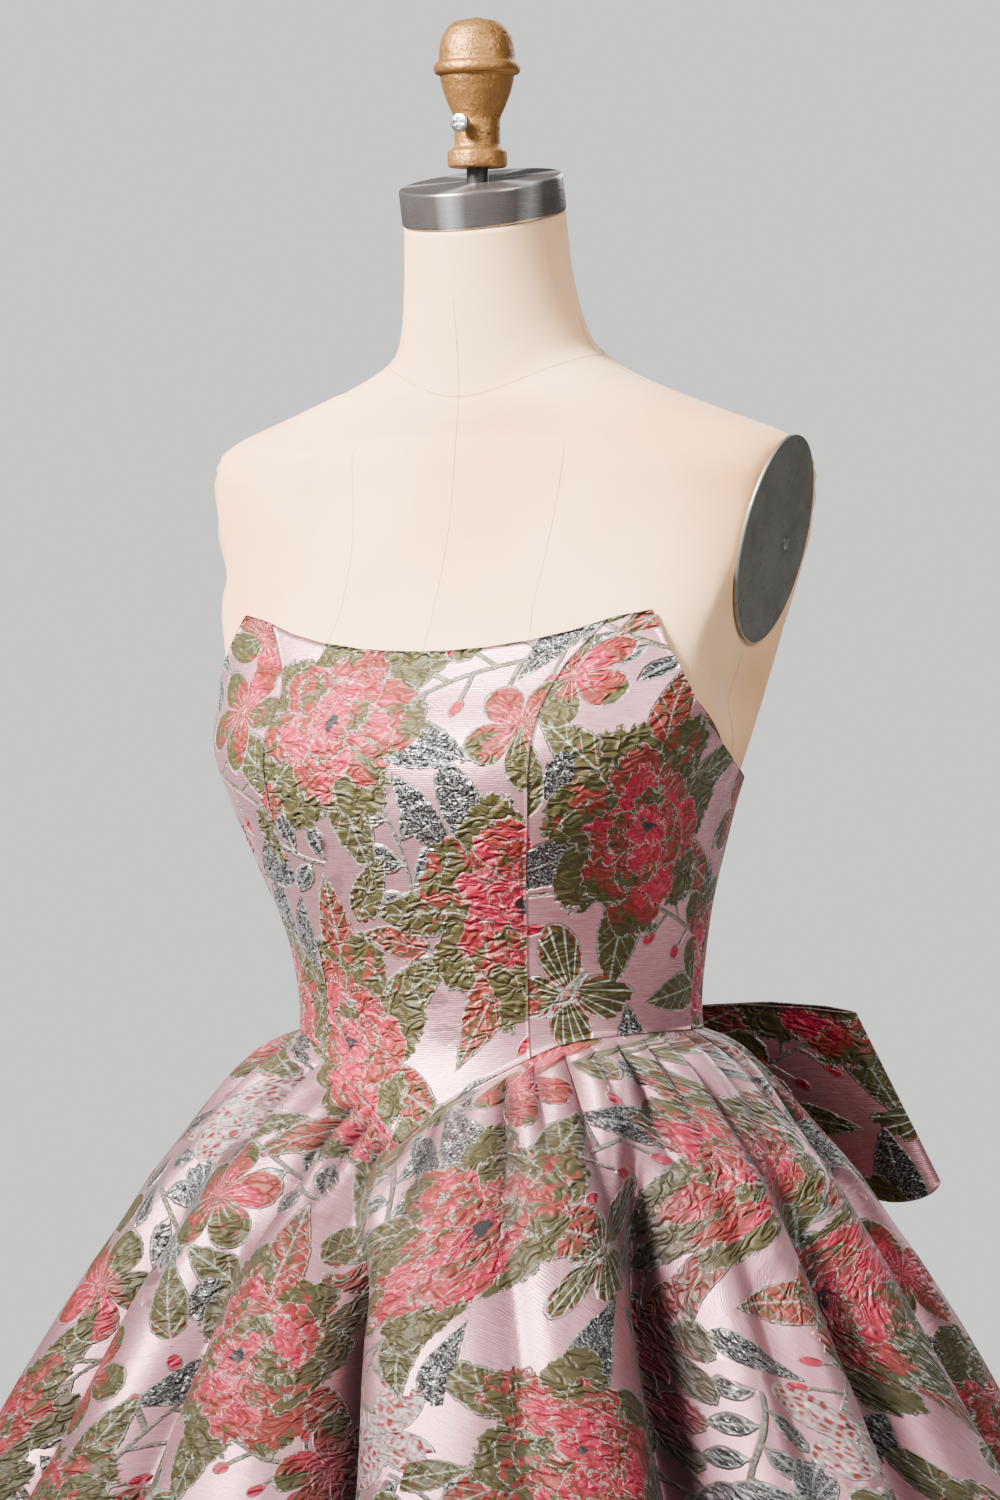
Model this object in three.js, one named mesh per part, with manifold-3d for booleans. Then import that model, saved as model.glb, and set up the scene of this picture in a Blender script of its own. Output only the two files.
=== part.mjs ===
// Strapless homecoming dress with a basque waist, a gathered skirt and a back bow, on a limbless
// dress form. Millimetres, +Z up, origin on the floor under the pole, the form faces -Y and its
// left side is +X.
import * as THREE from 'three';
import { mergeVertices } from 'three/addons/utils/BufferGeometryUtils.js';
import Module from 'manifold-3d';

const wasm = await Module();
wasm.setup();

// Cloth
const WALL = 1.6; // thickness of the brocade with its seam turnings
const EASE = 1.0; // from the figure to the inside of the bodice
const UNDER = 1.15; // the form is this much slimmer than the figure the bodice is cut to
const SEAM_GAP = 0.3; // two pieces stand this far apart along a seam
const HALF_SEAM = SEAM_GAP / 2;
const SKIRT_CENTRE_Y = 24; // middle of the waist, behind the pole
const SIDE_SEAM = 94; // degrees round from the centre front
const BACK_SEAM = 142;
const HEM_Z = 595;

// Form and stand
const FORM_COLUMNS = 42; // points round one ring of the form
const FORM_STEPS = 2; // rings to each row of the table below it
const NECK_TILT = 13; // the neck plate leans forward, in degrees
const NECK_PLATE = { radius: 44.5, height: 20.5, round: 3, hole: 6.4, y: 8, z: 1476.4 };
const ARM = { x: 158.5, y: 33, z: 1302, tilt: 13.8, halfDeep: 38.4, halfTall: 57, thick: 2.4,
  screwY: 13, screwZ: -2, hole: 4.1, screw: 3.8 };
const POLE_RADIUS = 12.5;
const FORM_BOTTOM = 780;

/** Turn rows of numbers into rows with named columns. */
function table(names, rows) {
  return rows.map((row) => Object.fromEntries(names.map((name, i) => [name, row[i]])));
}

// Level sections of the figure from hip to neck, each with its own height at front, side and back
const FIGURE = table(
  ['zFront', 'zSide', 'zBack', 'half', 'front', 'back', 'centre', 'squareFront', 'squareBack'], [
    [780, 780, 780, 152, -98, 130, 18, 2.2, 2.2],
    [860, 860, 860, 163, -104, 142, 20, 2.2, 2.2],
    [920, 920, 920, 155, -101, 138, 22, 2.2, 2.15],
    [978, 978, 978, 133, -90, 128, 23, 2.15, 2.1],
    [1010, 1010, 1010, 118, -80, 120, 24, 2.1, 2.1],
    [1040, 1040, 1040, 108.5, -73, 115, 24, 2.1, 2.1],
    [1080, 1080, 1080, 111, -77, 113, 23, 2.15, 2.1],
    [1120, 1120, 1120, 120.5, -90, 114, 16, 2.3, 2.15],
    [1160, 1160, 1160, 132.5, -102, 118, 11, 2.6, 2.2],
    [1193, 1193, 1193, 144, -100, 121, 8, 2.7, 2.3],
    [1225, 1225, 1225, 151, -76, 124, 14, 2.6, 2.5],
    [1262, 1258, 1262, 158, -54, 127, 24, 2.8, 2.6],
    [1300, 1290, 1300, 168, -38, 127, 33, 2.6, 2.6],
    [1328, 1318, 1330, 177, -31, 122, 36, 2.5, 2.5],
    [1350, 1340, 1358, 180, -28, 110, 36, 2.5, 2.4],
    [1362, 1357, 1378, 166, -26, 98, 34, 2.4, 2.2],
    [1370, 1374, 1397, 122, -25, 84, 29, 2.3, 2.1],
    [1376, 1389, 1411, 84, -24, 72, 24, 2.2, 2.0],
    [1380, 1403, 1422, 61, -23.5, 64, 20, 2.0, 2.0],
    [1397, 1420, 1434, 53, -24, 57, 17, 2.0, 2.0],
    [1430, 1446, 1455, 48, -29, 53, 12, 2.0, 2.0],
  ]);

// Height of the seam at the waist and of the top edge, by degrees round from the centre front
const WAIST_SEAM = table(['angle', 'z'], [
  [0, 982.5], [5.5, 992.8], [12, 1003], [19, 1011.5], [26.5, 1019], [36, 1028], [43, 1033.5],
  [52, 1037.5], [66, 1039.5], [84, 1040.5], [180, 1041],
]);
const TOP_EDGE = table(['angle', 'z'], [
  [0, 1240.5], [12, 1241], [25, 1242.5], [38, 1246], [48, 1251], [57, 1258.5], [63, 1262],
  [66.5, 1243], [74, 1216], [86, 1193.6], [97, 1181], [104, 1176.5], [120, 1171], [150, 1164],
  [180, 1161],
]);
const PEAK_ANGLE = 63;
// Course of the princess seam over the bust
const PRINCESS_SEAM = table(['z', 'angle'], [
  [982, 36], [1028, 35.8], [1080, 35.3], [1114, 36], [1174, 37], [1195, 38.3], [1208, 40],
  [1221, 43], [1235, 47], [1248, 52], [1262, 57],
]);

// How far the skirt stands out from the waist, by share of its drop
const FLARE = table(['drop', 'out'], [
  [0, 0], [0.01, 11], [0.025, 21], [0.05, 33], [0.074, 43], [0.121, 61], [0.178, 83],
  [0.234, 100], [0.281, 115], [0.348, 134], [0.404, 149], [0.467, 165], [0.629, 212],
  [0.809, 264], [1, 318],
]);
// The deep valleys between the rolls of the skirt, from where they start to the hem
const VALLEYS = table(['top', 'hem', 'wide', 'deep', 'start'], [
  [-7, 13, 8, 34, 0.02], [58, 49, 8, 34, 0.05], [84, 76, 6, 20, 0.1], [100, 102, 7, 28, 0.04],
  [126, 128, 8, 30, 0.06], [150, 153, 7, 26, 0.1], [172, 177, 6, 22, 0.15],
  [196, 200, 8, 30, 0.05], [222, 224, 7, 27, 0.08], [247, 250, 8, 30, 0.04],
  [272, 273, 6, 22, 0.1], [296, 295, 7, 28, 0.06], [322, 322, 7, 18, 0.12],
]);
const SKIRT_ROWS = [0, 0.012, 0.03, 0.055, 0.09, 0.14, 0.2, 0.28, 0.38, 0.5, 0.64, 0.81, 1];
const GATHERS = 28; // tucks let into the waist seam
const GATHER_RISE = 4;

// Bow
const KNOT = { y: 151, z: 1017.5, halfTall: 28, halfDeep: 8, halfWide: 15, tilt: 22 };
const LOOP = { start: 1.2, endTop: 147, endBottom: 184, open: 15, pinch: 2.3, lowerLayer: 17 };
const LOOP_EDGE = table(['along', 'yBottom', 'yTop', 'zBottom', 'zTop'], [
  [0, 160, 142, 997, 1038], [0.12, 161.5, 142.6, 995.5, 1039.5], [0.2, 170, 144, 989, 1043],
  [0.35, 187, 147, 979, 1048], [0.6, 201, 152, 967, 1050], [0.85, 195, 157, 957, 1048],
  [1, 188, 159, 953, 1045],
]);

const clamp = (value, low, high) => Math.min(high, Math.max(low, value));
const lerp = (a, b, f) => a + (b - a) * f;
const rad = (deg) => (deg * Math.PI) / 180;
const smooth = (f) => {
  const g = clamp(f, 0, 1);
  return g * g * (3 - 2 * g);
};

/** Straight-line reading of one column of a table against another. */
function read(rows, key, value, x) {
  const last = rows.length - 1;
  if (x <= rows[0][key]) return rows[0][value];
  if (x >= rows[last][key]) return rows[last][value];
  const i = rows.findIndex((row) => row[key] > x);
  const f = (x - rows[i - 1][key]) / (rows[i][key] - rows[i - 1][key]);
  return lerp(rows[i - 1][value], rows[i][value], f);
}

/** Smooth reading of every column of the figure at a fractional row. */
function figureRow(place) {
  const last = FIGURE.length - 1;
  const i = clamp(Math.floor(place), 0, last - 1);
  const f = place - i;
  const near = [i - 1, i, i + 1, i + 2].map((k) => FIGURE[clamp(k, 0, last)]);
  const row = {};
  for (const name of Object.keys(FIGURE[0])) {
    const [a, b, c, d] = near.map((entry) => entry[name]);
    row[name] = 0.5 * (2 * b + (c - a) * f + (2 * a - 5 * b + 4 * c - d) * f * f
      + (3 * b - a - 3 * c + d) * f * f * f);
  }
  return row;
}

/** Row place whose side height is z. */
function placeAt(z) {
  let low = 0;
  let high = FIGURE.length - 1;
  for (let step = 0; step < 30; step += 1) {
    const middle = (low + high) / 2;
    if (figureRow(middle).zSide < z) low = middle;
    else high = middle;
  }
  return low;
}

/** Distance of the figure from its own axis at an angle, out by some cloth. */
function figureRadius(row, angle, out) {
  const s = Math.abs(Math.sin(rad(angle)));
  const c = Math.cos(rad(angle));
  const isFront = c >= 0;
  const square = isFront ? row.squareFront : row.squareBack;
  const deep = isFront ? row.centre - row.front : row.back - row.centre;
  return ((s / (row.half + out)) ** square + (Math.abs(c) / (deep + out)) ** square)
    ** (-1 / square);
}

/** Point of the figure at a row and an angle round from the centre front. */
function figurePoint(row, angle, out = 0) {
  const radius = figureRadius(row, angle, out);
  const c = Math.cos(rad(angle));
  const zEnd = c >= 0 ? row.zFront : row.zBack;
  return new THREE.Vector3(radius * Math.sin(rad(angle)), row.centre - radius * c,
    row.zSide + (zEnd - row.zSide) * Math.abs(c) ** 1.6);
}

/** Flatten the figure where the arm plate lies on it. */
function pressArmhole(point) {
  const side = Math.sign(point.x) || 1;
  const fromPlate = new THREE.Vector3(Math.abs(point.x) - ARM.x, point.y - ARM.y, point.z - ARM.z);
  const tilt = rad(ARM.tilt);
  const outward = new THREE.Vector3(Math.cos(tilt), 0, -Math.sin(tilt));
  const upward = new THREE.Vector3(Math.sin(tilt), 0, Math.cos(tilt));
  const proud = fromPlate.dot(outward);
  const reach = Math.hypot(fromPlate.dot(upward) / ARM.halfTall, fromPlate.y / ARM.halfDeep);
  if (proud <= 0 || reach > 2) return point;
  const share = 1 - smooth((reach - 1.5) / 0.5);
  point.x -= side * outward.x * proud * share;
  point.z -= outward.z * proud * share;
  return point;
}

/** Closed mesh geometry from corner points and triangles, turned the right way out. */
function solidGeometry(points, triangles) {
  let volume = 0;
  for (const [a, b, c] of triangles) {
    volume += points[a].dot(new THREE.Vector3().crossVectors(points[b], points[c]));
  }
  const faces = volume < 0 ? triangles.map(([a, b, c]) => [a, c, b]) : triangles;
  const geometry = new THREE.BufferGeometry();
  geometry.setAttribute('position',
    new THREE.Float32BufferAttribute(points.flatMap((p) => [p.x, p.y, p.z]), 3));
  geometry.setIndex(faces.flat());
  geometry.computeVertexNormals();
  return geometry;
}

/** Closed skin over rings of points, with a flat fan at each end. */
function ringSolid(rings) {
  const count = rings[0].length;
  const points = rings.flat();
  const faces = [];
  for (let i = 0; i < rings.length - 1; i += 1) {
    for (let j = 0; j < count; j += 1) {
      const k = (j + 1) % count;
      const [a, b, c, d] = [i * count + j, i * count + k, (i + 1) * count + k, (i + 1) * count + j];
      faces.push([a, b, c], [a, c, d]);
    }
  }
  const middle = (ring) => ring.reduce((sum, p) => sum.add(p), new THREE.Vector3())
    .divideScalar(count);
  const bottom = points.push(middle(rings[0])) - 1;
  const top = points.push(middle(rings[rings.length - 1])) - 1;
  const start = (rings.length - 1) * count;
  for (let j = 0; j < count; j += 1) {
    const k = (j + 1) % count;
    faces.push([bottom, k, j], [top, start + j, start + k]);
  }
  return solidGeometry(points, faces);
}

/** Closed wall between an outer and an inner grid of points; closed round when it is a tube. */
function wallSolid(outer, inner, isTube = false) {
  const rows = outer.length;
  const columns = outer[0].length;
  const points = [...outer.flat(), ...inner.flat()];
  const at = (layer, i, j) => layer * rows * columns + i * columns + (j % columns);
  const faces = [];
  const quad = (a, b, c, d) => faces.push([a, b, c], [a, c, d]);
  const spans = isTube ? columns : columns - 1;
  for (let i = 0; i < rows - 1; i += 1) {
    for (let j = 0; j < spans; j += 1) {
      quad(at(0, i, j), at(0, i, j + 1), at(0, i + 1, j + 1), at(0, i + 1, j));
      quad(at(1, i, j), at(1, i + 1, j), at(1, i + 1, j + 1), at(1, i, j + 1));
    }
    if (!isTube) {
      quad(at(0, i, 0), at(0, i + 1, 0), at(1, i + 1, 0), at(1, i, 0));
      quad(at(0, i, spans), at(1, i, spans), at(1, i + 1, spans), at(0, i + 1, spans));
    }
  }
  for (let j = 0; j < spans; j += 1) {
    quad(at(0, 0, j), at(1, 0, j), at(1, 0, j + 1), at(0, 0, j + 1));
    quad(at(0, rows - 1, j), at(0, rows - 1, j + 1), at(1, rows - 1, j + 1), at(1, rows - 1, j));
  }
  return solidGeometry(points, faces);
}

/** Wall of even thickness on both sides of a surface given by a function of two shares. */
function clothSolid(surface, acrossShares, upShares, isTube = false) {
  const STEP = 0.004;
  const outer = [];
  const inner = [];
  for (const v of upShares) {
    const outerRow = [];
    const innerRow = [];
    for (const u of acrossShares) {
      const across = surface(u + STEP, v).sub(surface(u - STEP, v));
      const up = surface(u, v + STEP).sub(surface(u, v - STEP));
      const normal = new THREE.Vector3().crossVectors(across, up).normalize();
      const point = surface(u, v);
      outerRow.push(point.clone().addScaledVector(normal, WALL / 2));
      innerRow.push(point.clone().addScaledVector(normal, -WALL / 2));
    }
    outer.push(outerRow);
    inner.push(innerRow);
  }
  return wallSolid(outer, inner, isTube);
}

const shares = (count) => Array.from({ length: count + 1 }, (_, i) => i / count);

function named(name, geometry, material) {
  const mesh = new THREE.Mesh(geometry, material);
  mesh.name = name;
  return mesh;
}

// Materials
const brocade = new THREE.MeshStandardMaterial({ color: 0xd7a9ae, roughness: 0.5, metalness: 0 });
const linen = new THREE.MeshStandardMaterial({ color: 0xe3d3bf, roughness: 0.9, metalness: 0 });
const steel = new THREE.MeshStandardMaterial({ color: 0xa7a5a4, roughness: 0.35, metalness: 1 });
const agedSteel = new THREE.MeshStandardMaterial({ color: 0x77736d, roughness: 0.45, metalness: 1 });
const castBrass = new THREE.MeshStandardMaterial({ color: 0x9c7240, roughness: 0.5, metalness: 0.8 });
const zinc = new THREE.MeshStandardMaterial({ color: 0xb4b2ac, roughness: 0.4, metalness: 1 });
const blackPaint = new THREE.MeshStandardMaterial({ color: 0x1d1c1b, roughness: 0.5, metalness: 0.2 });
const whitePaint = new THREE.MeshStandardMaterial({ color: 0xdad7d1, roughness: 0.4, metalness: 0.1 });

/** Middle and lean of the neck plate. */
function neckFrame() {
  return new THREE.Matrix4().makeTranslation(0, NECK_PLATE.y, NECK_PLATE.z)
    .multiply(new THREE.Matrix4().makeRotationX(rad(NECK_TILT)));
}

/** Padded torso of the form, closed at the hips and under the neck plate. */
function formTorso() {
  const rings = [];
  const angles = Array.from({ length: FORM_COLUMNS }, (_, j) => (360 * j) / FORM_COLUMNS);
  const last = FIGURE.length - 1;
  const hipRows = 4; // the hips stay under the skirt and need fewer rings
  for (let place = 0; place <= last; place += place < hipRows ? 1 : 1 / FORM_STEPS) {
    const row = figureRow(place);
    rings.push(angles.map((angle) => pressArmhole(figurePoint(row, angle, -UNDER))));
  }
  const frame = neckFrame();
  const neckTop = angles.map((angle) => new THREE.Vector3(
    (NECK_PLATE.radius - 0.7) * Math.sin(rad(angle)),
    -(NECK_PLATE.radius - 0.7) * Math.cos(rad(angle)), -SEAM_GAP).applyMatrix4(frame));
  const neckFoot = rings[rings.length - 1];
  rings.push(neckFoot.map((p, j) => p.clone().lerp(neckTop[j], 0.5)));
  rings.push(neckTop);
  return named('form_torso', ringSolid(rings), linen);
}

/** Turned piece from radius and height pairs. */
function turned(profile, segments) {
  const geometry = new THREE.LatheGeometry(profile.map(([r, z]) => new THREE.Vector2(r, z)),
    segments);
  return geometry.rotateX(Math.PI / 2);
}

function toManifold(geometry) {
  const plain = geometry.clone();
  plain.deleteAttribute('normal');
  plain.deleteAttribute('uv');
  const merged = mergeVertices(plain, 1e-4);
  const mesh = new wasm.Mesh({ numProp: 3,
    vertProperties: new Float32Array(merged.attributes.position.array),
    triVerts: new Uint32Array(merged.index.array) });
  return new wasm.Manifold(mesh);
}

function fromManifold(solid) {
  const mesh = solid.getMesh();
  const geometry = new THREE.BufferGeometry();
  geometry.setAttribute('position', new THREE.Float32BufferAttribute(mesh.vertProperties, 3));
  geometry.setIndex(Array.from(mesh.triVerts));
  geometry.computeVertexNormals();
  return geometry;
}

/** Take one closed geometry out of another. */
function cut(geometry, ...tools) {
  const solid = tools.reduce((rest, tool) => rest.subtract(toManifold(tool)), toManifold(geometry));
  return fromManifold(solid);
}

/** Drum that closes the neck, with a hole for the rod of the finial. */
function neckCap() {
  const { radius, height, round, hole } = NECK_PLATE;
  const edge = [0, 30, 60, 90].map((deg) => [
    radius - round + round * Math.cos(rad(deg)), height - round + round * Math.sin(rad(deg))]);
  const drum = turned([[0, 0], [radius, 0], ...edge, [0, height]], 36).applyMatrix4(neckFrame());
  const bore = new THREE.CylinderGeometry(hole, hole, 90, 24).rotateX(Math.PI / 2)
    .translate(0, 0, NECK_PLATE.z);
  return named('neck_cap', cut(drum, bore), steel);
}

const ROD = { radius: 5.9, bottom: 1486, top: 1522.6 };
const SET_SCREW = { z: 1525.8, radius: 2.5, head: 5, headDeep: 3.2, out: 18.4, tip: 6.3 };
const FINIAL_PROFILE = [
  [0, 1540], [6.3, 1540], [6.3, 1502.9], [15.2, 1502.9], [16.1, 1504], [16.1, 1511.6],
  [13.2, 1513.4], [12.3, 1515], [12.3, 1529], [12.9, 1531], [15.6, 1537], [18.2, 1544],
  [19.7, 1550], [20, 1552.9], [22.5, 1553.4], [23.4, 1555], [23.4, 1557.6], [22.2, 1559.4],
  [20.5, 1560.4], [20.4, 1566], [19.2, 1573], [16.4, 1578], [12.2, 1581.6], [0, 1584],
];

/** Cast knob clamped on the rod, bored for the rod and for the set screw. */
function finial() {
  const bore = new THREE.CylinderGeometry(SET_SCREW.radius + SEAM_GAP,
    SET_SCREW.radius + SEAM_GAP, 14, 16).translate(0, -11, SET_SCREW.z);
  return named('finial', cut(turned(FINIAL_PROFILE, 24), bore), castBrass);
}

/** Crossed slot for a screw head, lying in the XZ plane round the origin. */
function crossSlot(size, deep) {
  return [[size, size * 0.28], [size * 0.28, size]].map(([wide, tall]) =>
    new THREE.BoxGeometry(wide, deep * 2, tall));
}

function setScrew() {
  const { z, radius, head, headDeep, out, tip } = SET_SCREW;
  const profile = [[0, -tip], [radius, -tip], [radius, -out], [head, -out],
    [head, -out - headDeep * 0.6], [head * 0.72, -out - headDeep], [0, -out - headDeep]];
  const geometry = new THREE.LatheGeometry(
    profile.reverse().map(([r, y]) => new THREE.Vector2(r, y)), 16);
  const slots = crossSlot(head * 1.2, 1.2);
  slots.forEach((slot) => slot.translate(0, -out - headDeep, 0));
  return named('set_screw', cut(geometry, ...slots).translate(0, 0, z), zinc);
}

function neckRod() {
  const length = ROD.top - ROD.bottom;
  const geometry = new THREE.CylinderGeometry(ROD.radius, ROD.radius, length, 24)
    .rotateX(Math.PI / 2).translate(0, 0, ROD.bottom + length / 2);
  return named('neck_rod', geometry, blackPaint);
}

/** Frame of an arm plate: x towards the back, y up the plate, z outwards. */
function armFrame(side) {
  const tilt = rad(ARM.tilt);
  const across = new THREE.Vector3(0, side, 0);
  const up = new THREE.Vector3(side * Math.sin(tilt), 0, Math.cos(tilt));
  const out = new THREE.Vector3(side * Math.cos(tilt), 0, -Math.sin(tilt));
  const frame = new THREE.Matrix4().makeBasis(across, up, out);
  return frame.setPosition(side * ARM.x, ARM.y, ARM.z);
}

/** Oval steel plate over the armhole, with a hole for its screw. */
function armPlate(side, name) {
  const bevel = 0.5;
  const shape = new THREE.Shape();
  shape.absellipse(0, 0, ARM.halfDeep - bevel, ARM.halfTall - bevel, 0, 2 * Math.PI);
  const hole = new THREE.Path();
  hole.absellipse(side * ARM.screwY, ARM.screwZ, ARM.hole, ARM.hole, 0, 2 * Math.PI, true);
  shape.holes.push(hole);
  const plate = new THREE.ExtrudeGeometry(shape, { depth: ARM.thick - 2 * bevel, curveSegments: 14,
    bevelThickness: bevel, bevelSize: bevel, bevelSegments: 1 });
  plate.translate(0, 0, bevel + SEAM_GAP);
  return named(name, plate.applyMatrix4(armFrame(side)), agedSteel);
}

function armScrew(side, name) {
  const head = ARM.screw - 0.6; // clear of the rolled edge of the hole
  const profile = [[0, SEAM_GAP], [head, SEAM_GAP], [head, ARM.thick + 0.2],
    [head * 0.7, ARM.thick + 0.9], [0, ARM.thick + 0.9]];
  const screw = turned(profile, 20);
  const slots = crossSlot(head * 1.3, 1.1);
  slots.forEach((slot) => slot.rotateX(Math.PI / 2).translate(0, 0, ARM.thick + 0.9));
  const placed = cut(screw, ...slots).translate(side * ARM.screwY, ARM.screwZ, 0);
  return named(name, placed.applyMatrix4(armFrame(side)), zinc);
}

function pole() {
  const bottom = 22.3;
  const length = FORM_BOTTOM - SEAM_GAP - bottom;
  const geometry = new THREE.CylinderGeometry(POLE_RADIUS, POLE_RADIUS, length, 28)
    .rotateX(Math.PI / 2).translate(0, 0, bottom + length / 2);
  return named('pole', geometry, whitePaint);
}

function basePlate() {
  const profile = [[0, 0], [196, 0], [200, 2.5], [200, 8], [195, 11], [60, 17], [24, 19.5],
    [20, 22], [0, 22]];
  return named('base_plate', turned(profile, 40), whitePaint);
}

/** Point of the bodice wall at an angle and a height. */
function bodicePoint(angle, z, out) {
  return figurePoint(figureRow(placeAt(z)), angle, out);
}

const waistZ = (angle) => read(WAIST_SEAM, 'angle', 'z', Math.abs(angle));
const topZ = (angle) => read(TOP_EDGE, 'angle', 'z', Math.abs(angle));
const princess = (z) => read(PRINCESS_SEAM, 'z', 'angle', z);

/** Angle of a share across a panel whose side edges are functions of the height. */
function panelAngle(panel, share, z) {
  const row = figureRow(placeAt(z));
  const left = panel.left(z);
  const right = panel.right(z);
  const gap = (angle) => THREE.MathUtils.radToDeg(HALF_SEAM / figureRadius(row, angle, WALL));
  return lerp(left + gap(left), right - gap(right), share);
}

/** Angle and height where a share across a panel meets an edge given by height over angle. */
function panelEnd(panel, share, edge) {
  let z = edge((panel.left(1100) + panel.right(1100)) / 2);
  let angle = 0;
  for (let step = 0; step < 12; step += 1) {
    angle = panelAngle(panel, share, z);
    z = edge(angle);
  }
  return z;
}

/** One cut panel of the bodice, from the waist seam to the top edge; side -1 mirrors it. */
function bodicePanel(name, panel, side = 1) {
  const ends = panel.across.map((share) => [
    panelEnd(panel, share, waistZ) + HALF_SEAM, panelEnd(panel, share, topZ)]);
  const grid = (out) => shares(panel.rows).map((up) => panel.across.map((share, j) => {
    const z = lerp(ends[j][0], ends[j][1], up);
    const point = bodicePoint(panelAngle(panel, share, z), z, out);
    point.x *= side;
    return point;
  }));
  return named(name, wallSolid(grid(EASE + WALL), grid(EASE)), brocade);
}

/** Shares across a side front panel, one of them on the peak of the top edge. */
function sideFrontShares() {
  const start = princess(1262);
  const peak = (PEAK_ANGLE - start) / (SIDE_SEAM - start);
  return [0, peak / 2, peak, ...[0.27, 0.38, 0.5, 0.62, 0.74, 0.87, 1]];
}

function bodice() {
  const rows = 13;
  const meshes = [bodicePanel('bodice_front_centre', {
    left: (z) => -princess(z), right: princess, across: shares(20), rows })];
  const mirrored = [
    { name: 'bodice_side_front', left: princess, right: () => SIDE_SEAM,
      across: sideFrontShares(), rows },
    { name: 'bodice_side_back', left: () => SIDE_SEAM, right: () => BACK_SEAM,
      across: shares(7), rows: 9 },
    { name: 'bodice_back', left: () => BACK_SEAM, right: () => 180, across: shares(6), rows: 9 },
  ];
  for (const { name, ...panel } of mirrored) {
    meshes.push(bodicePanel(`${name}_left`, panel), bodicePanel(`${name}_right`, panel, -1));
  }
  return meshes;
}

/** Shortest turn between two angles, in degrees. */
const turnBetween = (a, b) => ((((a - b + 180) % 360) + 360) % 360) - 180;

/** Rise of the small tucks under the waist seam, which die out down the skirt. */
function gatherRise(angle, drop) {
  const turn = rad(angle);
  const phase = GATHERS * turn + 1.9 * Math.sin(3 * turn) + 1.2 * Math.sin(5 * turn + 1);
  const uneven = 0.65 + 0.35 * Math.sin(7 * turn + 2);
  const fade = smooth(drop / 0.04) * (1 - smooth((drop - 0.05) / 0.3));
  return GATHER_RISE * (0.5 + 0.5 * Math.sin(phase)) * uneven * fade;
}

/** Fall of the skirt's surface into its deep valleys. */
function valleyFall(angle, drop) {
  return VALLEYS.reduce((fall, valley) => {
    const lean = 1 - (1 - clamp(drop, 0, 1)) ** 4;
    const off = turnBetween(angle, lerp(valley.top, valley.hem, lean)) / valley.wide;
    const grown = smooth((drop - valley.start) / 0.55);
    return fall + valley.deep * grown * Math.exp(-off * off);
  }, 0);
}

/** Middle of the skirt's cloth at an angle and a share of its drop. */
function skirtPoint(angle, drop) {
  const top = waistZ(turnBetween(angle, 0)) - HALF_SEAM - WALL / 2;
  const row = figureRow(placeAt(top));
  const waist = figureRadius(row, angle, EASE + WALL / 2);
  const backShare = Math.exp(-((turnBetween(angle, 180) / 42) ** 2));
  const pressed = 1 - 0.52 * backShare * (1 - smooth(drop / 0.4));
  const radius = waist + read(FLARE, 'drop', 'out', drop) * pressed
    + gatherRise(angle, drop) - valleyFall(angle, drop);
  const centre = lerp(row.centre, SKIRT_CENTRE_Y, smooth(drop));
  return new THREE.Vector3(radius * Math.sin(rad(angle)), centre - radius * Math.cos(rad(angle)),
    lerp(top, HEM_Z, drop));
}

/** One cut panel of the skirt between two upright seams. */
function skirtPanel(name, left, right, columns) {
  const surface = (share, drop) => {
    const gap = THREE.MathUtils.radToDeg(HALF_SEAM / (110 + 300 * drop)) * 1.3;
    return skirtPoint(lerp(left + gap, right - gap, share), drop);
  };
  return named(name, clothSolid(surface, shares(columns), SKIRT_ROWS), brocade);
}

/** Middle of one bow loop's cloth, from the knot out, round the end and back. */
function loopPoint(side, share, up) {
  const turn = 2 * Math.PI * share;
  const along = (1 - Math.cos(turn)) / 2;
  const end = lerp(LOOP.endBottom, LOOP.endTop, up);
  const pick = (value) => read(LOOP_EDGE, 'along', value, along);
  const pleat = 1.6 * (1 - smooth(along * 1.6)) * Math.sin(up * 5 * Math.PI);
  const apart = LOOP.pinch * Math.cos(Math.PI * share)
    + LOOP.open * Math.sin(turn) * smooth(along / 0.4);
  const lower = LOOP.lowerLayer * smooth((share - 0.45) / 0.2) * smooth(along * 1.5);
  const bottom = pick('zBottom') - lower;
  return new THREE.Vector3(side * lerp(LOOP.start, end, along),
    lerp(pick('yBottom'), pick('yTop'), up) + apart + pleat, lerp(bottom, pick('zTop'), up));
}

function bowLoop(side, name) {
  return named(name, clothSolid((u, v) => loopPoint(side, u, v), shares(22), shares(6)), brocade);
}

/** Band wound round the middle of the bow. */
function bowKnot() {
  const square = 3;
  const surface = (share, across) => {
    const turn = 2 * Math.PI * share;
    const curve = (value) => Math.sign(value) * Math.abs(value) ** (2 / square);
    const x = lerp(-KNOT.halfWide, KNOT.halfWide, across);
    const waisted = 1 + 0.08 * (x / KNOT.halfWide) ** 2;
    const deep = KNOT.halfDeep * waisted * curve(Math.cos(turn));
    const tall = KNOT.halfTall * waisted * curve(Math.sin(turn));
    const tilt = rad(KNOT.tilt);
    return new THREE.Vector3(x, KNOT.y + deep * Math.cos(tilt) - tall * Math.sin(tilt),
      KNOT.z + deep * Math.sin(tilt) + tall * Math.cos(tilt));
  };
  const count = 24;
  const round = Array.from({ length: count }, (_, i) => (i + 0.5) / count);
  return named('bow_knot', clothSolid(surface, round, shares(3), true), brocade);
}

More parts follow.
